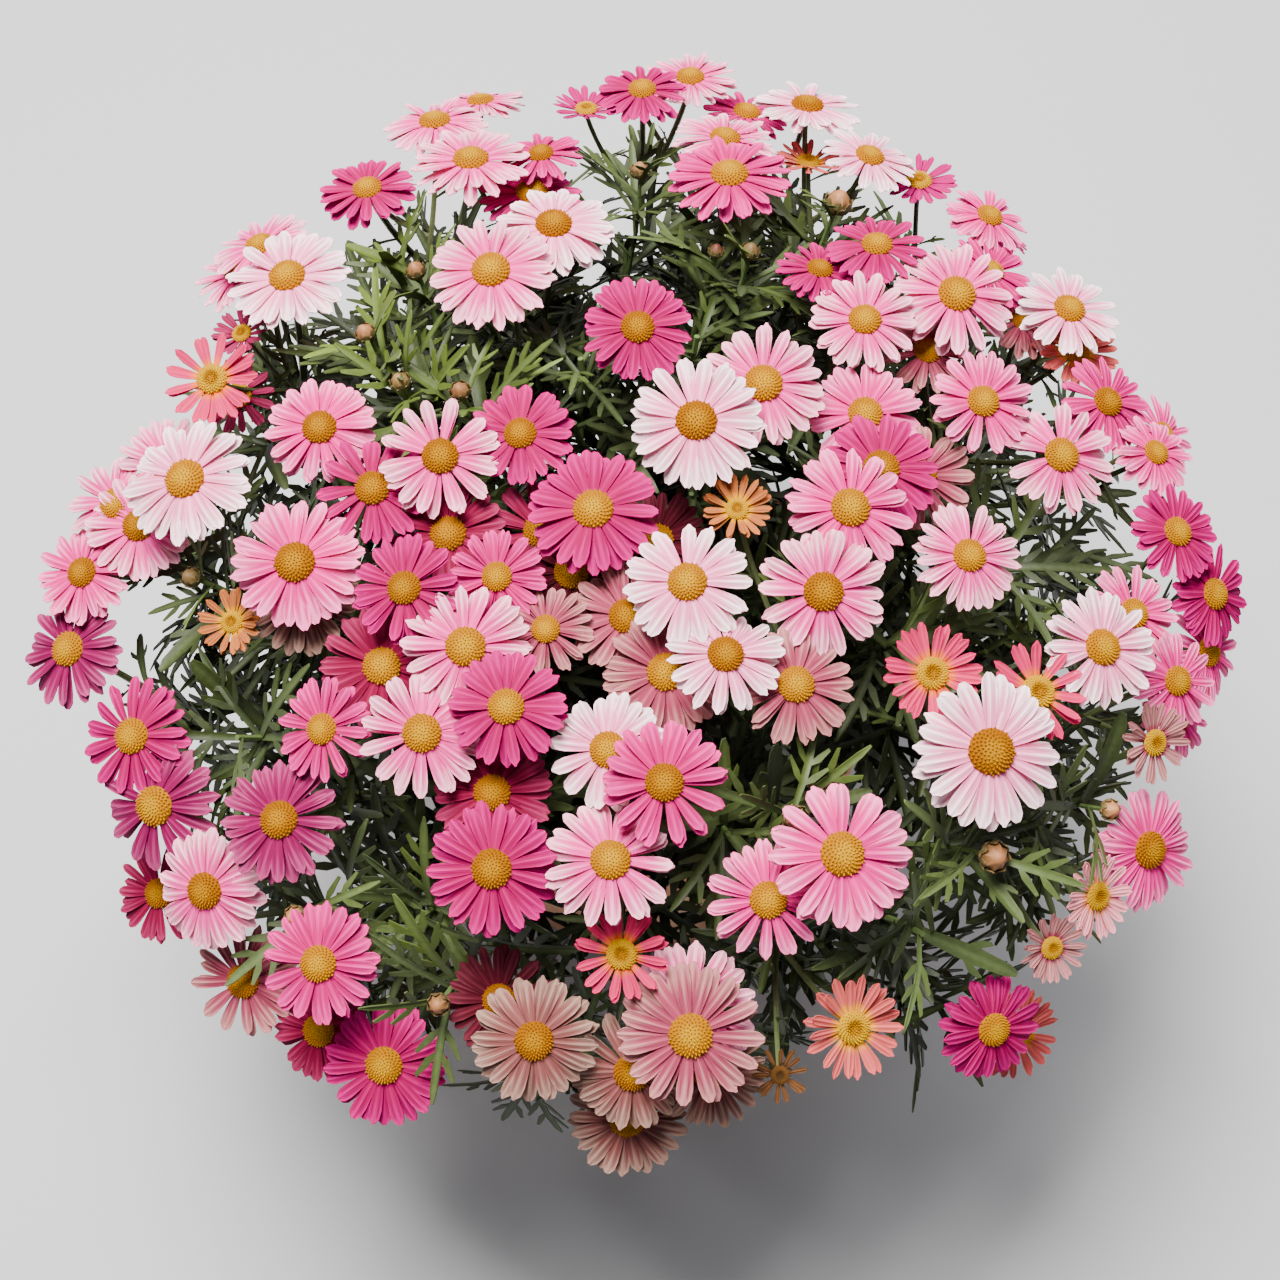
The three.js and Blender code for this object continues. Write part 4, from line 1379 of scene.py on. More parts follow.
@dataclass
class FlowerBunch:
    """Two to four blooms on stalks that part from one foot."""

    name: str
    slot: str
    blooms: list[Bloom]
    foot: Spot = field(init=False)
    found: int = 0

    fork_depth: float = 63
    fork_step: float = 0.1

    def __post_init__(self) -> None:
        """Works out where the stalks part."""
        middle = sum(bloom.centre for bloom in self.blooms) / len(self.blooms)
        toward = unit(sum(bloom.facing for bloom in self.blooms))
        outward = spot(middle[0], middle[1], 0) / DOME.reach
        self.foot = middle - self.fork_depth * unit(1.2 * toward + UP + 0.6 * outward)

    def build(
        self, patterns: FlowerPatterns, node: bpy.types.Object, finishes: Sequence[bpy.types.Material]
    ) -> bpy.types.Object:
        """Builds the bunch.

        Args:
            patterns: What its blooms are made of.
            node: The solid that it replaces.
            finishes: Petal, floret and leaf materials.

        Returns:
            The piece.
        """
        sheaf = Sheaf()
        tree = solid_points(node)
        rise = self.blooms[0].neck - self.foot
        for index, bloom in enumerate(self.blooms):
            self.found += bloom.read(tree)
            self.add_stalk(sheaf, patterns, bloom, self.foot + rise * self.fork_step * index, index == 0)
            self.add_head(sheaf, patterns, bloom)
        return sheaf.make(f"{self.name}_blooms", finishes)

    def add_stalk(
        self, sheaf: Sheaf, patterns: FlowerPatterns, bloom: Bloom, root: Spot, is_first: bool
    ) -> None:
        """Adds a bloom's stalk, with small narrow leaves low on it.

        Args:
            sheaf: The piece that it goes into.
            patterns: What it is made of.
            bloom: The bloom.
            root: Where the stalk starts.
            is_first: Whether it is the thickest, which the others leave.
        """
        neck = bloom.neck
        length = float(np.linalg.norm(neck - root))
        bend = 0.45 * (neck - bloom.facing * length * 0.42) + 0.55 * (root + neck) / 2
        curve = Curve(root, bend, neck + 0.6 * bloom.facing)
        radii = (1.75 if is_first else 1.3, 0.85 * (0.95 + 0.011 * bloom.width))
        lay_tube(sheaf, patterns.stalk, curve, radii, STALK_GREENS, LEAF_SLOT, bloom.draw(50), wobble=0.12)
        for leaf, (size, shape) in enumerate(zip((34, 26, 17), patterns.leaves)):
            share = 0.04 + 0.17 * leaf + 0.15 * bloom.draw(51 + leaf)
            (centre, along, across, over), = curve.sections([share])
            turn = FULL_TURN * bloom.draw(54 + leaf)
            out = across * math.cos(turn) + over * math.sin(turn)
            place_leaf(
                sheaf, shape, centre, unit(out * 0.85 + along * 0.55), along,
                size * (0.8 + 0.4 * bloom.draw(57 + leaf)), LeafShape(arch=0.2, cup=0.3, twist=0.5),
                leaf_colours(bloom.number * 3.7 + leaf, 0.3), LEAF_SLOT, bloom.draw(60 + leaf),
            )

    def add_head(self, sheaf: Sheaf, patterns: FlowerPatterns, bloom: Bloom) -> None:
        """Adds a bloom's cup, disc and petals.

        Args:
            sheaf: The piece that it goes into.
            patterns: What it is made of.
            bloom: The bloom.
        """
        disc = bloom.disc * bloom.crown.disc
        frame = bloom.axes(-bloom.spin)
        cup = patterns.cup.spots * [disc * 0.93, disc * 0.93, SOLID_HEAD.cup * bloom.width]
        sheaf.add(patterns.cup, bloom.centre + cup @ frame, LEAF_SLOT, *CUP_GREENS, bloom.draw(60))
        pattern = patterns.old_disc if bloom.crown is OPEN else patterns.young_disc
        florets = disc * pattern.spots @ level_frame(FULL_TURN * bloom.draw(61)) + 0.7 * UP
        sheaf.add(pattern, bloom.centre + florets @ frame, DISC_SLOT, *self.disc_colours(bloom))
        self.add_petals(sheaf, patterns.petals, bloom, disc)

    @staticmethod
    def disc_colours(bloom: Bloom) -> tuple[Colour, Colour]:
        """Colours of a disc at its rim and in its middle.

        Args:
            bloom: The bloom.

        Returns:
            The two colours.
        """
        if bloom.crown is WITHERED:
            return (0.16, 0.07, 0.02), (0.10, 0.05, 0.02)
        if bloom.crown is not OPEN:
            return (0.62, 0.33, 0.0005), (0.42, 0.17, 0.0005)
        is_old = bloom.draw(62) > 0.68
        if is_old:
            return (0.34, 0.115, 0.0005), (0.46, 0.20, 0.0005)
        return (0.46, 0.18, 0.0005), (0.58, 0.29, 0.0005)

    def add_petals(self, sheaf: Sheaf, shapes: tuple[Pattern, Pattern], bloom: Bloom, disc: float) -> None:
        """Adds the petals in two layers, each bent with the solid's petals round it.

        Args:
            sheaf: The piece that it goes into.
            shapes: The blunt petal and the rounded one.
            bloom: The bloom.
            disc: Radius of its disc.
        """
        crown = bloom.crown
        total = crown.petals[0] + int(crown.petals[1] * bloom.draw(63))
        total += 2 if crown is OPEN and bloom.width > FULL_WIDTH else 0
        droop, narrow, blunt = (
            least + more * bloom.draw(purpose)
            for (least, more), purpose in ((crown.droop, 64), (crown.narrow, 78), (crown.blunt, 79))
        )
        root = disc * 0.86
        item = 0
        for layer, (whorl, count) in enumerate(zip(WHORLS, ((total + 1) // 2, total // 2))):
            for place in range(count):
                item += 1
                key = bloom.number * 53 + item
                turn = FULL_TURN * (place + 0.5 * layer + 0.44 * sway(key, 70)) / count
                excess, share = bloom.bend_at(turn)
                length = (bloom.width / 2 - root) * (1.04 + 0.11 * sway(key, 71)) * max(0.9, share)
                length *= whorl.length
                pitch = excess + crown.cupped + whorl.pitch + 0.20 * sway(key, 72)
                curl = droop + 0.34 * sway(key, 73) - 0.25 * excess
                width = length ** 0.35 * (bloom.width / 2) ** 0.65 * narrow * (0.88 + 0.24 * draw(key, 74))
                petal = shapes[0] if draw(key, 77) < blunt else shapes[1]
                spots = petal_spots(petal, length, width, pitch, curl, 0.7 * sway(key, 75))
                spots += spot(root, 0, whorl.height)
                sheaf.add(
                    petal, bloom.centre + spots @ bloom.axes(turn), PETAL_SLOT, *bloom.tint.value,
                    draw(key, 76), crown.heart,
                )


def turned(turn: np.ndarray, side: np.ndarray, high: np.ndarray) -> tuple[np.ndarray, np.ndarray]:
    """Places across and over a petal or leaf, each turned about its length."""
    return side * np.cos(turn) - high * np.sin(turn), side * np.sin(turn) + high * np.cos(turn)


def petal_spots(
    petal: Pattern, length: float, width: float, pitch: float, curl: float, twist: float
) -> np.ndarray:
    """Points of a bent petal, out along X from its root.

    Args:
        petal: The flat petal.
        length: Its length.
        width: Length that its width is scaled by.
        pitch: Angle up at its root.
        curl: Further angle up by its tip.
        twist: Turn about its own length by its tip.

    Returns:
        Its points.
    """
    along = petal.spots[:, 0]
    side, high = turned(twist * along, petal.spots[:, 1] * width, petal.spots[:, 2] * width)
    bend = curl if abs(curl) > 1e-3 else 1e-3
    angle = pitch + bend * along
    out = length * (np.sin(angle) - math.sin(pitch)) / bend
    up = length * (math.cos(pitch) - np.cos(angle)) / bend
    return np.column_stack([out - high * np.sin(angle), side, up + high * np.cos(angle)])


@dataclass(frozen=True)
class LeafShape:
    """How a leaf bends: arch along it, cup across it, twist about its length, and how wide it is."""

    arch: float
    cup: float
    twist: float
    wide: float = 1.2


def place_leaf(
    sheaf: Sheaf,
    leaf: Pattern,
    base: Spot,
    along: Spot,
    up: Spot,
    length: float,
    shape: LeafShape,
    colours: tuple[Colour, Colour],
    finish: int,
    kind: float,
) -> None:
    """Adds a copy of a leaf, darker the deeper it lies under the dome: painted shade.

    Args:
        sheaf: The piece that it goes into.
        leaf: The leaf's pattern.
        base: Where its root is.
        along: The direction that it grows in.
        up: The direction that its upper side faces, about.
        length: Its length.
        shape: How it bends.
        colours: Its colours at the root and the tip.
        finish: Number of its finish.
        kind: Number from 0 to 1 that tells it from others.
    """
    side = unit(np.cross(up, along))
    top = np.cross(along, side)
    far = leaf.spots[:, 0]
    across, high = turned(shape.twist * far, leaf.spots[:, 1] * shape.wide, leaf.spots[:, 2])
    high = high - shape.arch * far * far + shape.cup * np.abs(leaf.spots[:, 1])
    spots = base + length * (np.outer(far, along) + np.outer(across, side) + np.outer(high, top))
    # Painted shade: the leaf's colours fall to about half where it lies deep under the dome
    middle = base + 0.6 * length * along
    depth = DOME.height(math.hypot(middle[0], middle[1])) - middle[2]
    light = 1.1 - 0.65 * clamp01((depth - 8) / 60)
    root, tip = (tuple(light * spot(*colour)) for colour in colours)
    sheaf.add(leaf, spots, finish, root, tip, kind)


def leaf_colours(item: float, youth: float) -> tuple[Colour, Colour]:
    """Colours of a leaf at its root and tip.

    Args:
        item: Number of the leaf.
        youth: 0 for an old dark leaf, 1 for a bright young one.

    Returns:
        The two colours.
    """
    vary = 0.8 + 0.4 * draw(item, 80)
    blue = draw(item, 81)
    old = spot(0.035 + 0.007 * blue, 0.049 + 0.007 * blue, 0.009 + 0.016 * blue)
    new = spot(0.080, 0.118, 0.012)
    root = (old * (1 - youth) + new * youth) * vary
    tip = root * (1.25 + 0.5 * youth)
    return tuple(root), tuple(tip)


@dataclass(frozen=True)
class SolidLeaf:
    """The large leaves of the solid stems, which the ones in their places follow."""

    shortest: float = 36
    longer: float = 18
    broad_from: float = 43
    arch: float = 0.1
    arch_more: float = 0.25
    cup_more: float = 0.25
    lift: float = 0.35
    lift_more: float = 0.5
    turns: tuple[float, ...] = (0, 0.3, -0.3)
    near: float = 0.8 * MM


SOLID_LEAF = SolidLeaf()


@dataclass
class Shoot:
    """A thin green stem that leaves a leafy stem and carries leaves, and a bunch, a bud or nothing."""

    number: int
    to: Spot
    facing: Spot
    whorls: tuple[float, ...]
    bud: float = 0
    youth: float = 0.25
    curve: Curve | None = None

    @property
    def size(self) -> float:
        """Scale of its leaves in the solid."""
        return 0.9 if self.bud else 1.0

    def radius(self, share: float) -> float:
        """Radius of the solid shoot at a share of the way."""
        return 1.5 + 0.2 * share


@dataclass
class Buds:
    """A closed bud of radius one that stands on height 0: overlapping scales round a tuft of petals."""

    rows: int = 2
    per_row: int = 7
    first_tilt: float = 0.15
    tilt_step: float = 0.42
    scale_length: float = 0.62

    def pattern(self) -> Pattern:
        """Models the bud.

        Returns:
            The pattern.
        """
        bench = Bench(bpy.ops.mesh.primitive_uv_sphere_add, segments=16, ring_count=8, radius=1)
        bench.pick(lambda p: p.z > 0.6).size(0.8, 0.8, 1.12)
        bench.pick(lambda p: -0.1 < p.z < 0.99 and int(round(math.atan2(p.y, p.x) * 8 / math.pi)) % 2 == 1)
        bench.size(0.84, 0.84, 0.96)
        bench.all().size(0.92, 0.92, 0.85).move(z=0.8)
        bud = Pattern.of(bench.close(), lambda x, y, z: (1, z / 1.9, 0))
        bench = sheet(2, 2)
        bench.pick(lambda p: p.x > 0.9).size(y=0.25)
        bench.pick(lambda p: p.x < 0.1).size(y=0.8)
        bench.pick(lambda p: abs(p.y) < 0.01 and p.x > 0.3).move(z=0.06)
        scale = Pattern.of(bench.thicken(0.07), lambda x, y, z: (y, x * 0.5, 0))
        for row in range(self.rows):
            for i in range(self.per_row):
                out, side, _ = level_frame(FULL_TURN * (i + 0.5 * (row % 2)) / self.per_row)
                tilt = self.first_tilt + self.tilt_step * row
                normal = out * math.cos(tilt - 0.55) + UP * math.sin(tilt - 0.55)
                low = tilt - 0.75
                base = 0.8 * UP + 0.93 * (out * math.cos(low) + UP * math.sin(low))
                axes = (self.scale_length * np.cross(normal, side), self.scale_length * side, normal)
                bud = bud.joined(scale.copy(base, axes))
        return bud


@dataclass
class LeafyPatterns:
    """Everything that a leafy stem is made of, modelled once."""

    tube: Pattern
    narrow: Pattern
    broad: Pattern
    slender: Pattern
    bud: Pattern


@dataclass
class LeafyStem:
    """A stem that leaves a limb and divides into shoots, with all the leaves on them."""

    name: str
    curve: Curve
    shoots: list[Shoot] = field(default_factory=list)
    fillers: list[Shoot] = field(default_factory=list)
    found: int = 0

    bark: Colour = (0.09, 0.08, 0.04)
    green: Colour = (0.085, 0.12, 0.04)
    tip_green: Colour = (0.10, 0.15, 0.045)
    bud_green: Colour = (0.11, 0.085, 0.03)
    small_tuft: Colour = (0.14, 0.035, 0.022)
    ripe_tuft: Colour = (0.50, 0.20, 0.075)
    pale_tuft: Colour = (0.26, 0.15, 0.05)
    radii: tuple[float, float] = (3.1, 2.3)
    shoot_radius: float = 1.7
    straight: float = 0.4
    nearest: float = 0.35
    furthest: float = 0.96
    leaf_step: float = 9

    def on(self, share: float) -> Spot:
        """A point in the middle of the solid stem, which has one bend half way up.

        Args:
            share: Share of the way up.

        Returns:
            The point.
        """
        low, middle, high = (self.curve.point(station) for station in (0, 0.5, 1))
        if share < 0.5:
            return low + (middle - low) * 2 * share
        return middle + (high - middle) * (2 * share - 1)

    def branch(self) -> None:
        """Gives each shoot its curve. Near ones leave low on the stem and far ones at its top."""
        ordered = sorted(self.shoots, key=lambda shoot: math.hypot(shoot.to[0], shoot.to[1]))
        step = (self.furthest - self.nearest) / max(1, len(ordered) - 1)
        starts = [(shoot, self.on(self.nearest + step * index)) for index, shoot in enumerate(ordered)]
        for shoot in self.fillers:
            starts.append((shoot, self.curve.point(self.nearest + 0.6 * draw(shoot.number, 130))))
        for shoot, start in starts:
            bend = shoot.to - shoot.facing * self.straight * np.linalg.norm(shoot.to - start)
            shoot.curve = Curve(start, bend, shoot.to)

    def build(
        self, patterns: LeafyPatterns, node: bpy.types.Object, shade: Shade,
        finishes: Sequence[bpy.types.Material],
    ) -> bpy.types.Object:
        """Builds the stem.

        Args:
            patterns: What it is made of.
            node: The solid that it replaces.
            shade: The blooms over it, which its leaves keep clear of.
            finishes: The leaf material alone.

        Returns:
            The piece.
        """
        tree = solid_points(node)
        sheaf = Sheaf()
        back = self.curve.start - 1.5 * self.curve.along(0)
        whole = Curve(back, self.curve.bend, self.curve.end)
        lay_tube(sheaf, patterns.tube, whole, self.radii, (self.bark, self.green), 0, 0.4, wobble=0.12)
        self.add_leaves(sheaf, patterns, whole, 0.12, 24, 900 + len(self.shoots), shade, youth=0.0)
        for shoot in self.shoots + self.fillers:
            radii, greens = (self.shoot_radius, 1.0 if shoot.bud else 1.2), (self.green, self.tip_green)
            kind = draw(shoot.number, 90)
            lay_tube(sheaf, patterns.tube, shoot.curve, radii, greens, 0, kind, wobble=0.14)
            self.copy_solid_leaves(sheaf, patterns, shoot, tree)
            count = max(6, int(shoot.curve.length() / self.leaf_step))
            self.add_leaves(sheaf, patterns, shoot.curve, 0.22, count, shoot.number, shade, shoot.youth)
            if shoot.bud:
                self.add_bud(sheaf, patterns, shoot)
        return sheaf.make(f"{self.name}_leaves", finishes)

    def copy_solid_leaves(self, sheaf: Sheaf, patterns: LeafyPatterns, shoot: Shoot, tree: KDTree) -> None:
        """Puts a fine leaf where the solid has a large one.

        Args:
            sheaf: The piece.
            patterns: Its patterns.
            shoot: The shoot that the leaves stand on.
            tree: The solid's points.
        """
        if not shoot.whorls:
            return
        half = 1 / shoot.curve.length()
        stations = [0.0, *(share + side * half for share in shoot.whorls for side in (-1, 1)), 1.0]
        frames = shoot.curve.sections(stations)
        for whorl, share in enumerate(shoot.whorls):
            low, high = frames[2 * whorl + 1], frames[2 * whorl + 2]
            for side in range(3):
                item = shoot.number * 40 + (2 * whorl + 1) * 4 + side
                corners = [
                    centre + shoot.radius(station) * (
                        across * math.cos(FULL_TURN * corner / 3) + over * math.sin(FULL_TURN * corner / 3)
                    )
                    for (centre, _, across, over), station in ((low, share - half), (high, share + half))
                    for corner in (side, side + 1)
                ]
                base = sum(corners) / 4
                edge = unit(corners[3] - corners[2])
                rise = corners[2] - corners[0]
                rise = unit(rise - edge * float(rise @ edge))
                out = np.cross(edge, rise)
                solid = SOLID_LEAF
                length = shoot.size * (solid.shortest + solid.longer * draw(item, 21))
                arch, cup = solid.arch + solid.arch_more * draw(item, 23), solid.cup_more * draw(item, 24)
                for turn in solid.turns:
                    lift = solid.lift + solid.lift_more * draw(item, 22) + turn
                    along = out * math.cos(lift) + rise * math.sin(lift)
                    top = np.cross(along, edge)
                    tip = base + length * (along - arch * top)
                    if tree.find(tip * MM)[2] > solid.near:
                        continue
                    self.found += 1
                    leaf = patterns.broad if length > solid.broad_from else patterns.narrow
                    place_leaf(
                        sheaf, leaf, base - along, along, top, length + 1, LeafShape(arch, cup, 0),
                        leaf_colours(item, 0.15), 0, draw(item, 25),
                    )
                    break

    @staticmethod
    def add_leaves(
        sheaf: Sheaf, patterns: LeafyPatterns, curve: Curve, low: float, count: int, seed: int,
        shade: Shade, youth: float,
    ) -> None:
        """Adds smaller leaves in a spiral up a curve, where they are clear of the blooms.

        Args:
            sheaf: The piece.
            patterns: Its patterns.
            curve: The curve that they stand on.
            low: Share of the way where they begin.
            count: How many are tried.
            seed: Number of the shoot.
            shade: The blooms to keep clear of.
            youth: How bright they are at the curve's end.
        """
        stations = [low + (1 - low) * (i + 0.5) / count for i in range(count)]
        for i, (centre, along, across, over) in enumerate(curve.sections(stations)):
            key = seed * 61 + i
            share = stations[i]
            turn = i * GOLDEN_TURN + 6 * draw(seed, 95)
            out = across * math.cos(turn) + over * math.sin(turn)
            young = clamp01((share - 0.55) / 0.45) * youth
            length = (40 + 16 * draw(key, 96)) * (1 - 0.25 * young) * (1 - 0.2 * max(0, share - 0.75) / 0.25)
            lift = 0.45 + 0.45 * draw(key, 97) + 0.5 * young
            wide = 1.1 + 0.3 * draw(key, 105) + 0.3 * young
            shape = LeafShape(
                0.08 + 0.4 * draw(key, 98), 0.35 * draw(key, 99), 1.2 * sway(key, 100), wide
            )
            for trial in range(3):
                angle = lift - 0.35 * trial
                direction = unit(out * math.cos(angle) + along * math.sin(angle))
                top = along * math.cos(angle) - out * math.sin(angle)
                tip = centre + length * (direction - shape.arch * top)
                middle = centre + length * 0.6 * direction
                if shade.is_clear(tip) and shade.is_clear(middle):
                    break
            else:
                continue
            pick = draw(key, 101)
            leaf = patterns.broad if pick > 0.72 and length > 42 else patterns.narrow
            if pick < 0.75 * young:
                leaf = patterns.slender
            place_leaf(
                sheaf, leaf, centre, direction, top, length, shape, leaf_colours(key, young), 0,
                draw(key, 102),
            )

    def add_bud(self, sheaf: Sheaf, patterns: LeafyPatterns, shoot: Shoot) -> None:
        """Adds the bud at a shoot's end.

        Args:
            sheaf: The piece that it goes into.
            patterns: What it is made of.
            shoot: The shoot.
        """
        (centre, along, across, over), = shoot.curve.sections([1.0])
        spots = centre + 0.9 * shoot.bud * (patterns.bud.spots @ np.array([across, over, along]))
        is_ripe = draw(shoot.number, 103) > 0.3
        tuft = self.ripe_tuft if is_ripe else self.pale_tuft
        if shoot.bud < 5:
            tuft = self.small_tuft
        sheaf.add(patterns.bud, spots, 0, self.bud_green, tuft, draw(shoot.number, 104))


@dataclass
class Shade:
    """The blooms as seen by leaves that must not stand in or over them."""

    blooms: Sequence[Bloom]
    centres: np.ndarray = field(init=False)
    facings: np.ndarray = field(init=False)
    reaches: np.ndarray = field(init=False)

    below: float = 5
    above: float = 40

    def __post_init__(self) -> None:
        """Gathers the blooms' places."""
        self.centres = np.array([bloom.centre for bloom in self.blooms])
        self.facings = np.array([bloom.facing for bloom in self.blooms])
        self.reaches = np.array([bloom.width / 2 for bloom in self.blooms])

    def is_clear(self, point: Spot) -> bool:
        """Whether a point is out of every bloom and of the air over it.

        Args:
            point: The point.

        Returns:
            Whether it is clear.
        """
        offset = point - self.centres
        high = (offset * self.facings).sum(1)
        out = np.linalg.norm(offset - high[:, None] * self.facings, axis=1)
        return not bool(((high > -self.below) & (high < self.above) & (out < self.reaches)).any())


@dataclass
class WoodyBase:
    """The trunk in its hole in the mix and the limbs that it divides into."""

    top: float = 206
    foot: float = 132.3
    radius: float = 9
    top_radius: float = 6.5
    limb_radii: tuple[float, float] = (4.6, 3.3)
    lowest_limb: float = 20
    stagger: float = 12
    voxel: float = 1.7

    def limb(self, end: Spot, index: int) -> Curve:
        """Curve of the limb that ends at a point.

        Args:
            end: Where it ends.
            index: Its number.

        Returns:
            The curve.
        """
        root = UP * (self.top - self.lowest_limb + self.stagger * (index % 2))
        bend = (root + end) / 2
        bend[2] = root[2] + 2
        return Curve(root, bend, end)

    def build(self, ends: Sequence[Spot], bark: bpy.types.Material) -> bpy.types.Object:
        """Builds the piece: tubes grown into one skin with uneven bark.

        Args:
            ends: Where the limbs end.
            bark: The bark material.

        Returns:
            The piece.
        """
        sheaf = Sheaf()
        tube = Tubes(sides=12, rings=14).pattern()
        trunk = Curve(self.foot * UP, spot(0.8, 0.5, 170), (self.top + 1) * UP)
        black = (0.0, 0.0, 0.0)
        lay_tube(sheaf, tube, trunk, (self.radius, self.top_radius), (black, black), 0, 0.3, wobble=0.1)
        for index, end in enumerate(ends):
            limb = self.limb(end, index)
            kind = index / len(ends)
            lay_tube(sheaf, tube, limb, self.limb_radii, (black, black), 0, kind, wobble=0.16)
        piece = sheaf.make("woody_base_bark", [bark])
        modify(piece, "REMESH", mode="VOXEL", voxel_size=self.voxel * MM)
        modify(piece, "SMOOTH", iterations=4, factor=0.5)
        outward = [vert.normal.copy() for vert in piece.data.vertices]
        for vert, normal in zip(piece.data.vertices, outward):
            place = Vector((vert.co.x * 260, vert.co.y * 260, vert.co.z * 90))
            vert.co += normal * noise.fractal(place, 1.0, 2.0, 3) * 0.45 * MM
        bpy.ops.object.shade_smooth()
        return piece


@dataclass
class PottingMix:
    """The mix that fills the pot: an uneven top with bark chips and perlite lying on it."""

    top: float = 168
    floor: float = 12.3
    foot_radius: float = 70.4
    top_radius: float = 98.8
    chips: int = 420
    perlite: int = 110
    chip_reach: float = 96
    fall: float = 3.5
    fall_from: float = 88
    fall_width: float = 11
    dark: Colour = (0.030, 0.019, 0.012)
    pale: Colour = (0.095, 0.06, 0.036)
    chip: Colour = (0.11, 0.062, 0.034)
    white: Colour = (0.55, 0.52, 0.47)

    def surface(self, x: float, y: float) -> float:
        """Height of the top at a place. It is lumpy and falls off at the pot's wall.

        Args:
            x: East of the middle.
            y: North of the middle.

        Returns:
            The height.
        """
        lump = noise.fractal(Vector((x * 0.05, y * 0.05, 3.1)), 1.0, 2.0, 4) * 2.6
        wave = 2.0 * math.sin(x * 0.05 + 1) * math.cos(y * 0.04)
        fall = self.fall * clamp01((math.hypot(x, y) - self.fall_from) / self.fall_width)
        return self.top + lump + wave - fall

    def build(self, finish: bpy.types.Material) -> bpy.types.Object:
        """Builds the piece.

        Args:
            finish: The mix's material.

        Returns:
            The piece.
        """
        bench = Bench(
            bpy.ops.mesh.primitive_circle_add, vertices=72, radius=self.foot_radius, fill_type="NGON",
            location=(0, 0, self.floor),
        )
        bench.all().extrude(z=self.top - self.floor)
        bench.size(self.top_radius / self.foot_radius, self.top_radius / self.foot_radius, 1)
        for _ in range(16):
            bpy.ops.mesh.inset(thickness=5.8, use_even_offset=False)
        body = Pattern.of(bench.face_out().close(), lambda x, y, z: (0, 0, 0))
        for point in body.spots:
            is_on_top = point[2] > self.top - 1
            if is_on_top:
                point[2] = self.surface(point[0], point[1])
        sheaf = Sheaf()
        sheaf.add(body, body.spots, 0, self.pale, self.dark, 0.5)
        bench = Bench(bpy.ops.mesh.primitive_ico_sphere_add, subdivisions=1, radius=1)
        bench.pick(lambda p: p.x > 0.2).size(0.7, 0.8, 1).move(z=0.2)
        chip = Pattern.of(bench.close(), lambda x, y, z: (0, 0, 0))
        for i in range(self.chips + self.perlite):
            is_white = i >= self.chips
            place = self.chip_reach * math.sqrt(draw(i, 110)) * around(FULL_TURN * draw(i, 111))
            place[2] = self.surface(place[0], place[1]) + 0.3
            size = 1.2 + 0.9 * draw(i, 112) if is_white else 1.6 + 3.4 * draw(i, 112) ** 2
            shape = size * (spot(1, 0.85, 0.75) if is_white else spot(1, 0.5, 0.28))
            out, side, up = level_frame(6.28 * draw(i, 113))
            cos, sin = math.cos(0.7 * sway(i, 114)), math.sin(0.7 * sway(i, 114))
            spots = place + chip.spots * shape @ np.array([out, side * cos + up * sin, up * cos - side * sin])
            tone = spot(*self.white) if is_white else (0.6 + 0.9 * draw(i, 115)) * spot(*self.chip)
            sheaf.add(chip, spots, 0, tuple(tone), tuple(0.5 * tone), draw(i, 116))
        return sheaf.make("potting_mix_surface", [finish], crease=35)


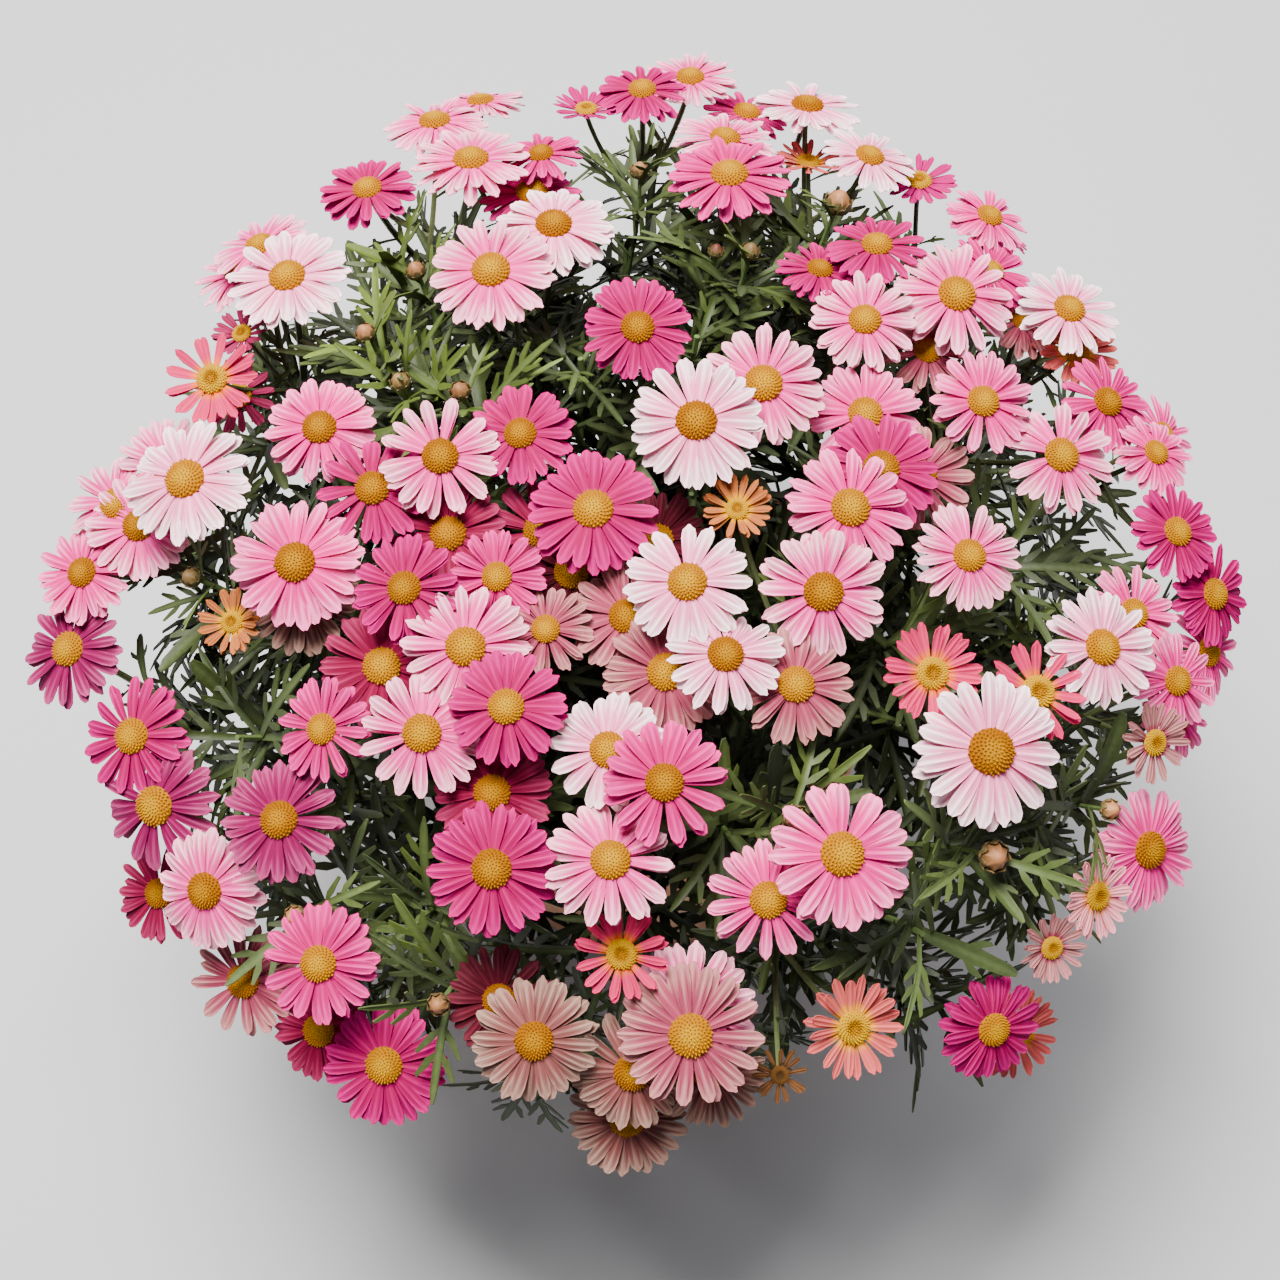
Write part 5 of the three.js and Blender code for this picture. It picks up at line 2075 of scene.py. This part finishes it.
@dataclass
class ClayPot:
    """Plain clay pot with a rim band and four drain holes."""

    height: float = 190
    rim: float = 115
    foot: float = 80
    band: float = 36
    wall: float = 9
    floor: float = 12
    drain_circle: float = 42
    drain_radius: float = 6
    sides: int = 96

    def profile(self) -> list[tuple[float, float]]:
        """Radius and height of each turn of the wall, from the foot round the rim to the inside.

        Returns:
            A row for each turn.
        """
        neck = self.rim - 10
        band_foot = self.height - self.band
        lip = self.rim - self.wall - 3
        shares = (0.2, 0.4, 0.6, 0.8)
        return [
            (self.foot - 3, 0.0), (self.foot, 2.5), (self.foot + 1.2, 8),
            *((self.foot + (neck - self.foot) * share, (band_foot - 3) * share) for share in shares),
            (neck, band_foot - 4), (neck + 0.6, band_foot - 1.5), (self.rim - 4.2, band_foot - 0.4),
            (self.rim - 3, band_foot + 1.6), (self.rim - 1.6, band_foot + 16),
            (self.rim - 0.2, self.height - 4),
            (self.rim - 0.6, self.height - 1.4), (self.rim - 2.6, self.height), (lip + 3.2, self.height),
            (lip + 1.2, self.height - 1.2), (lip, self.height - 4), (neck - self.wall + 4, band_foot + 12),
            (neck - self.wall, band_foot - 4), ((neck + self.foot) / 2 - self.wall, 84),
            (self.foot - self.wall + 2, self.floor + 5), (self.foot - self.wall - 2, self.floor),
        ]

    def build(self, clay: bpy.types.Material) -> bpy.types.Object:
        """Builds the piece.

        Args:
            clay: The clay material.

        Returns:
            The piece.
        """
        turns = [(radius * MM, height * MM) for radius, height in self.profile()]
        bench = Bench(
            bpy.ops.mesh.primitive_circle_add, vertices=self.sides, radius=turns[0][0], fill_type="NGON"
        ).all()
        for (radius, height), (wider, higher) in zip(turns, turns[1:]):
            bench.extrude(z=higher - height)
            bench.size(wider / radius, wider / radius, 1)
        pot = bench.face_out().close()
        for turn in range(4):
            self.drill(pot, math.radians(45 + 90 * turn))
        pot.name = pot.data.name = "clay_pot"
        pot.data.materials.clear()
        pot.data.materials.append(clay)
        for vert in pot.data.vertices:
            wave = noise.noise(Vector((vert.co.x * 18, vert.co.y * 18, vert.co.z * 30)))
            outward = Vector((vert.co.x, vert.co.y, 0))
            if vert.co.z > 1 * MM and outward.length > 60 * MM:
                vert.co += outward.normalized() * wave * 0.35 * MM
        choose(pot)
        bpy.ops.object.shade_smooth_by_angle(angle=math.radians(40))
        return pot

    def drill(self, pot: bpy.types.Object, turn: float) -> None:
        """Cuts one drain hole.

        Args:
            pot: The pot.
            turn: Where round the foot the hole is, in radians.
        """
        place = self.drain_circle * MM * around(turn) + 5 * MM * UP
        bpy.ops.object.select_all(action="DESELECT")
        bpy.ops.mesh.primitive_cylinder_add(
            vertices=24, radius=self.drain_radius * MM, depth=40 * MM, location=tuple(place)
        )
        drill = bpy.context.object
        choose(pot)
        modify(pot, "BOOLEAN", operation="DIFFERENCE", object=drill, solver="EXACT")
        bpy.data.objects.remove(drill)


@dataclass
class Plant:
    """The whole plant: where every stem, shoot, leaf and bloom stands."""

    stems: list[LeafyStem] = field(default_factory=list)
    bunches: list[FlowerBunch] = field(default_factory=list)
    limb_ends: list[Spot] = field(default_factory=list)
    base: WoodyBase = field(default_factory=WoodyBase)

    fillers: int = 48
    filler_reach: float = 215
    filler_depth: float = 58
    filler_deeper: float = 40
    # Count, first turn in degrees, and reach and height of the limbs' ends and of the stems' tops
    rings: tuple[tuple[int, float, float, float, float, float], ...] = (
        (3, 90, 20, 240, 66, 292), (8, 22.5, 62, 226, 160, 246),
    )

    def __post_init__(self) -> None:
        """Lays out the plant in the order that its solids were laid out."""
        self.lay_stems()
        self.lay_bunches()
        self.lay_shoots()

    def lay_stems(self) -> None:
        """Places the limbs and leafy stems in two rings round the trunk."""
        for count, turn, limb_reach, limb_height, reach, height in self.rings:
            for i in range(count):
                outward = around(math.radians(turn + 360 * i / count))
                end = outward * limb_reach + UP * limb_height
                top = outward * reach + UP * height
                index = len(self.stems)
                along = self.base.limb(end, index).along(1)
                start = end + 0.3 * along
                bend = start + along * 0.4 * np.linalg.norm(top - start)
                self.limb_ends.append(end)
                self.stems.append(LeafyStem(f"leafy_stem_{index + 1:02d}", Curve(start, bend, top)))

    def lay_bunches(self) -> None:
        """Places the bunches of blooms."""
        number = 0
        for slot, rows in BLOOM_ROWS.items():
            for row in rows:
                blooms = []
                for entry in row:
                    number += 1
                    blooms.append(Bloom(number, *entry))
                self.bunches.append(FlowerBunch(f"flower_bunch_{len(self.bunches) + 1:02d}", slot, blooms))

    def lay_shoots(self) -> None:
        """Places the shoots and gives each to the nearest stem."""
        shoots = []
        for bunch in self.bunches:
            facing = unit(bunch.blooms[0].neck - bunch.foot)
            shoots.append(Shoot(len(shoots), bunch.foot - 0.3 * facing, facing, (0.62,)))
        for east, north, depth, bud in GREEN_TIPS:
            facing = unit(spot(east, north, DOME.reach))
            # Shoots in the north-west, on the side of the key light, get brighter, yellower tips: partly
            # young growth, partly painted light
            bright = 0.8 if east < -60 and north > 0 else 0.35
            shoots.append(Shoot(len(shoots), DOME.point(east, north, -depth), facing, (0.85,), bud, bright))
        for turn, reach, height in SKIRT:
            outward = around(math.radians(turn))
            shoots.append(Shoot(len(shoots), outward * reach + UP * height, outward, (0.45, 0.92)))
        for shoot in shoots:
            self.nearest(shoot).shoots.append(shoot)
        for i in range(self.fillers):
            reach = self.filler_reach * math.sqrt((i + 0.5) / self.fillers)
            east, north, _ = reach * around(i * GOLDEN_TURN)
            top = DOME.point(east, north, -self.filler_depth - self.filler_deeper * draw(i, 120))
            filler = Shoot(200 + i, top, unit(spot(east, north, 300)), (), youth=0.1)
            self.nearest(filler).fillers.append(filler)
        for stem in self.stems:
            stem.branch()

    def nearest(self, shoot: Shoot) -> LeafyStem:
        """The stem whose top is nearest to a shoot's end on the plan.

        Args:
            shoot: The shoot.

        Returns:
            The stem.
        """
        return min(
            self.stems,
            key=lambda stem: math.hypot(stem.curve.end[0] - shoot.to[0], stem.curve.end[1] - shoot.to[1]),
        )


@dataclass
class Studio:
    """The pale floor, the soft light and the camera."""

    lens: float = 64.7
    camera_at: Place = (0.0, -0.530, 1.160)
    look_down: float = 61

    def build(self) -> None:
        """Sets up the scene around the plant."""
        bpy.ops.mesh.primitive_plane_add(size=9, location=(0, 0, 0))
        floor = bpy.context.object
        floor.name = "floor"
        paint = Paint("floor_pale")
        floor.data.materials.append(paint.finish((0.50, 0.50, 0.51), 0.75))
        self.light("key", (-0.4, 0.3, 2.6), 1.2, 225, (1.0, 0.98, 0.95))
        self.light("fill", (0.6, 1.6, 2.3), 1.8, 34, (0.98, 0.98, 1.0))
        world = bpy.data.worlds.new("soft_sky")
        bpy.context.scene.world = world
        world.use_nodes = True
        sky = world.node_tree.nodes["Background"].inputs
        sky["Color"].default_value = (0.86, 0.92, 1.0, 1)
        sky["Strength"].default_value = 0.28
        bpy.ops.object.camera_add(
            location=self.camera_at, rotation=(math.radians(90 - self.look_down), 0, 0)
        )
        camera = bpy.context.object
        camera.data.sensor_width = 36
        camera.data.lens = self.lens
        bpy.context.scene.camera = camera

    @staticmethod
    def light(name: str, place: Place, size: float, power: float, colour: Colour) -> None:
        """Adds a soft square light that faces the plant.

        Args:
            name: Its name.
            place: Where it hangs, in metres.
            size: Its side.
            power: Its power in watts.
            colour: Its colour.
        """
        bpy.ops.object.light_add(type="AREA", location=place)
        lamp = bpy.context.object
        lamp.name = name
        lamp.data.size = size
        lamp.data.energy = power
        lamp.data.color = colour
        lamp.rotation_euler = (Vector((0, 0, 0.3)) - Vector(place)).to_track_quat("-Z", "Y").to_euler()


def report(piece: bpy.types.Object, slot: str, *nodes: str) -> None:
    """Gives a finished piece to the frame and logs it.

    Args:
        piece: The piece.
        slot: Not used.
        *nodes: The solids that it stands for.
    """
    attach(piece, "root")
    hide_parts(*nodes)
    piece.data.calc_loop_triangles()
    log.info("%s: %d triangles", piece.name, len(piece.data.loop_triangles))


def main() -> None:
    """Builds the studio, the pot, its mix and the plant."""
    logging.basicConfig(level=logging.INFO, format="%(message)s")
    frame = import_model()
    Studio().build()
    plant = Plant()
    leaf, petal, floret = LeafFinish().make(), PetalFinish().make(), FloretFinish().make()
    report(ClayPot().build(ClayFinish().make()), "terracotta", "pot")
    report(PottingMix().build(SoilFinish().make()), "potting_mix", "potting_mix")
    report(plant.base.build(plant.limb_ends, BarkFinish().make()), "bark", "woody_base")
    leafy = LeafyPatterns(
        Tubes().pattern(), NARROW.pattern(), BROAD.pattern(), SLENDER.pattern(), Buds().pattern()
    )
    shade = Shade([bloom for bunch in plant.bunches for bloom in bunch.blooms])
    for stem in plant.stems:
        report(stem.build(leafy, frame["nodes"][stem.name], shade, [leaf]), "foliage", stem.name)
    log.info("solid leaves matched: %d", sum(stem.found for stem in plant.stems))
    flowers = FlowerPatterns(
        (Petals().pattern(), Petals(widths=(0.12, 0.19, 0.24, 0.205, 0.08), notch=0).pattern()),
        Discs().pattern(0.0), Discs().pattern(0.2), Cups().pattern(), leafy.tube,
        (leafy.narrow, leafy.slender, leafy.slender),
    )
    for bunch in plant.bunches:
        piece = bunch.build(flowers, frame["nodes"][bunch.name], [petal, floret, leaf])
        report(piece, bunch.slot, bunch.name)
    log.info("solid petals matched: %d", sum(bunch.found for bunch in plant.bunches))


if __name__ == "__main__":
    main()
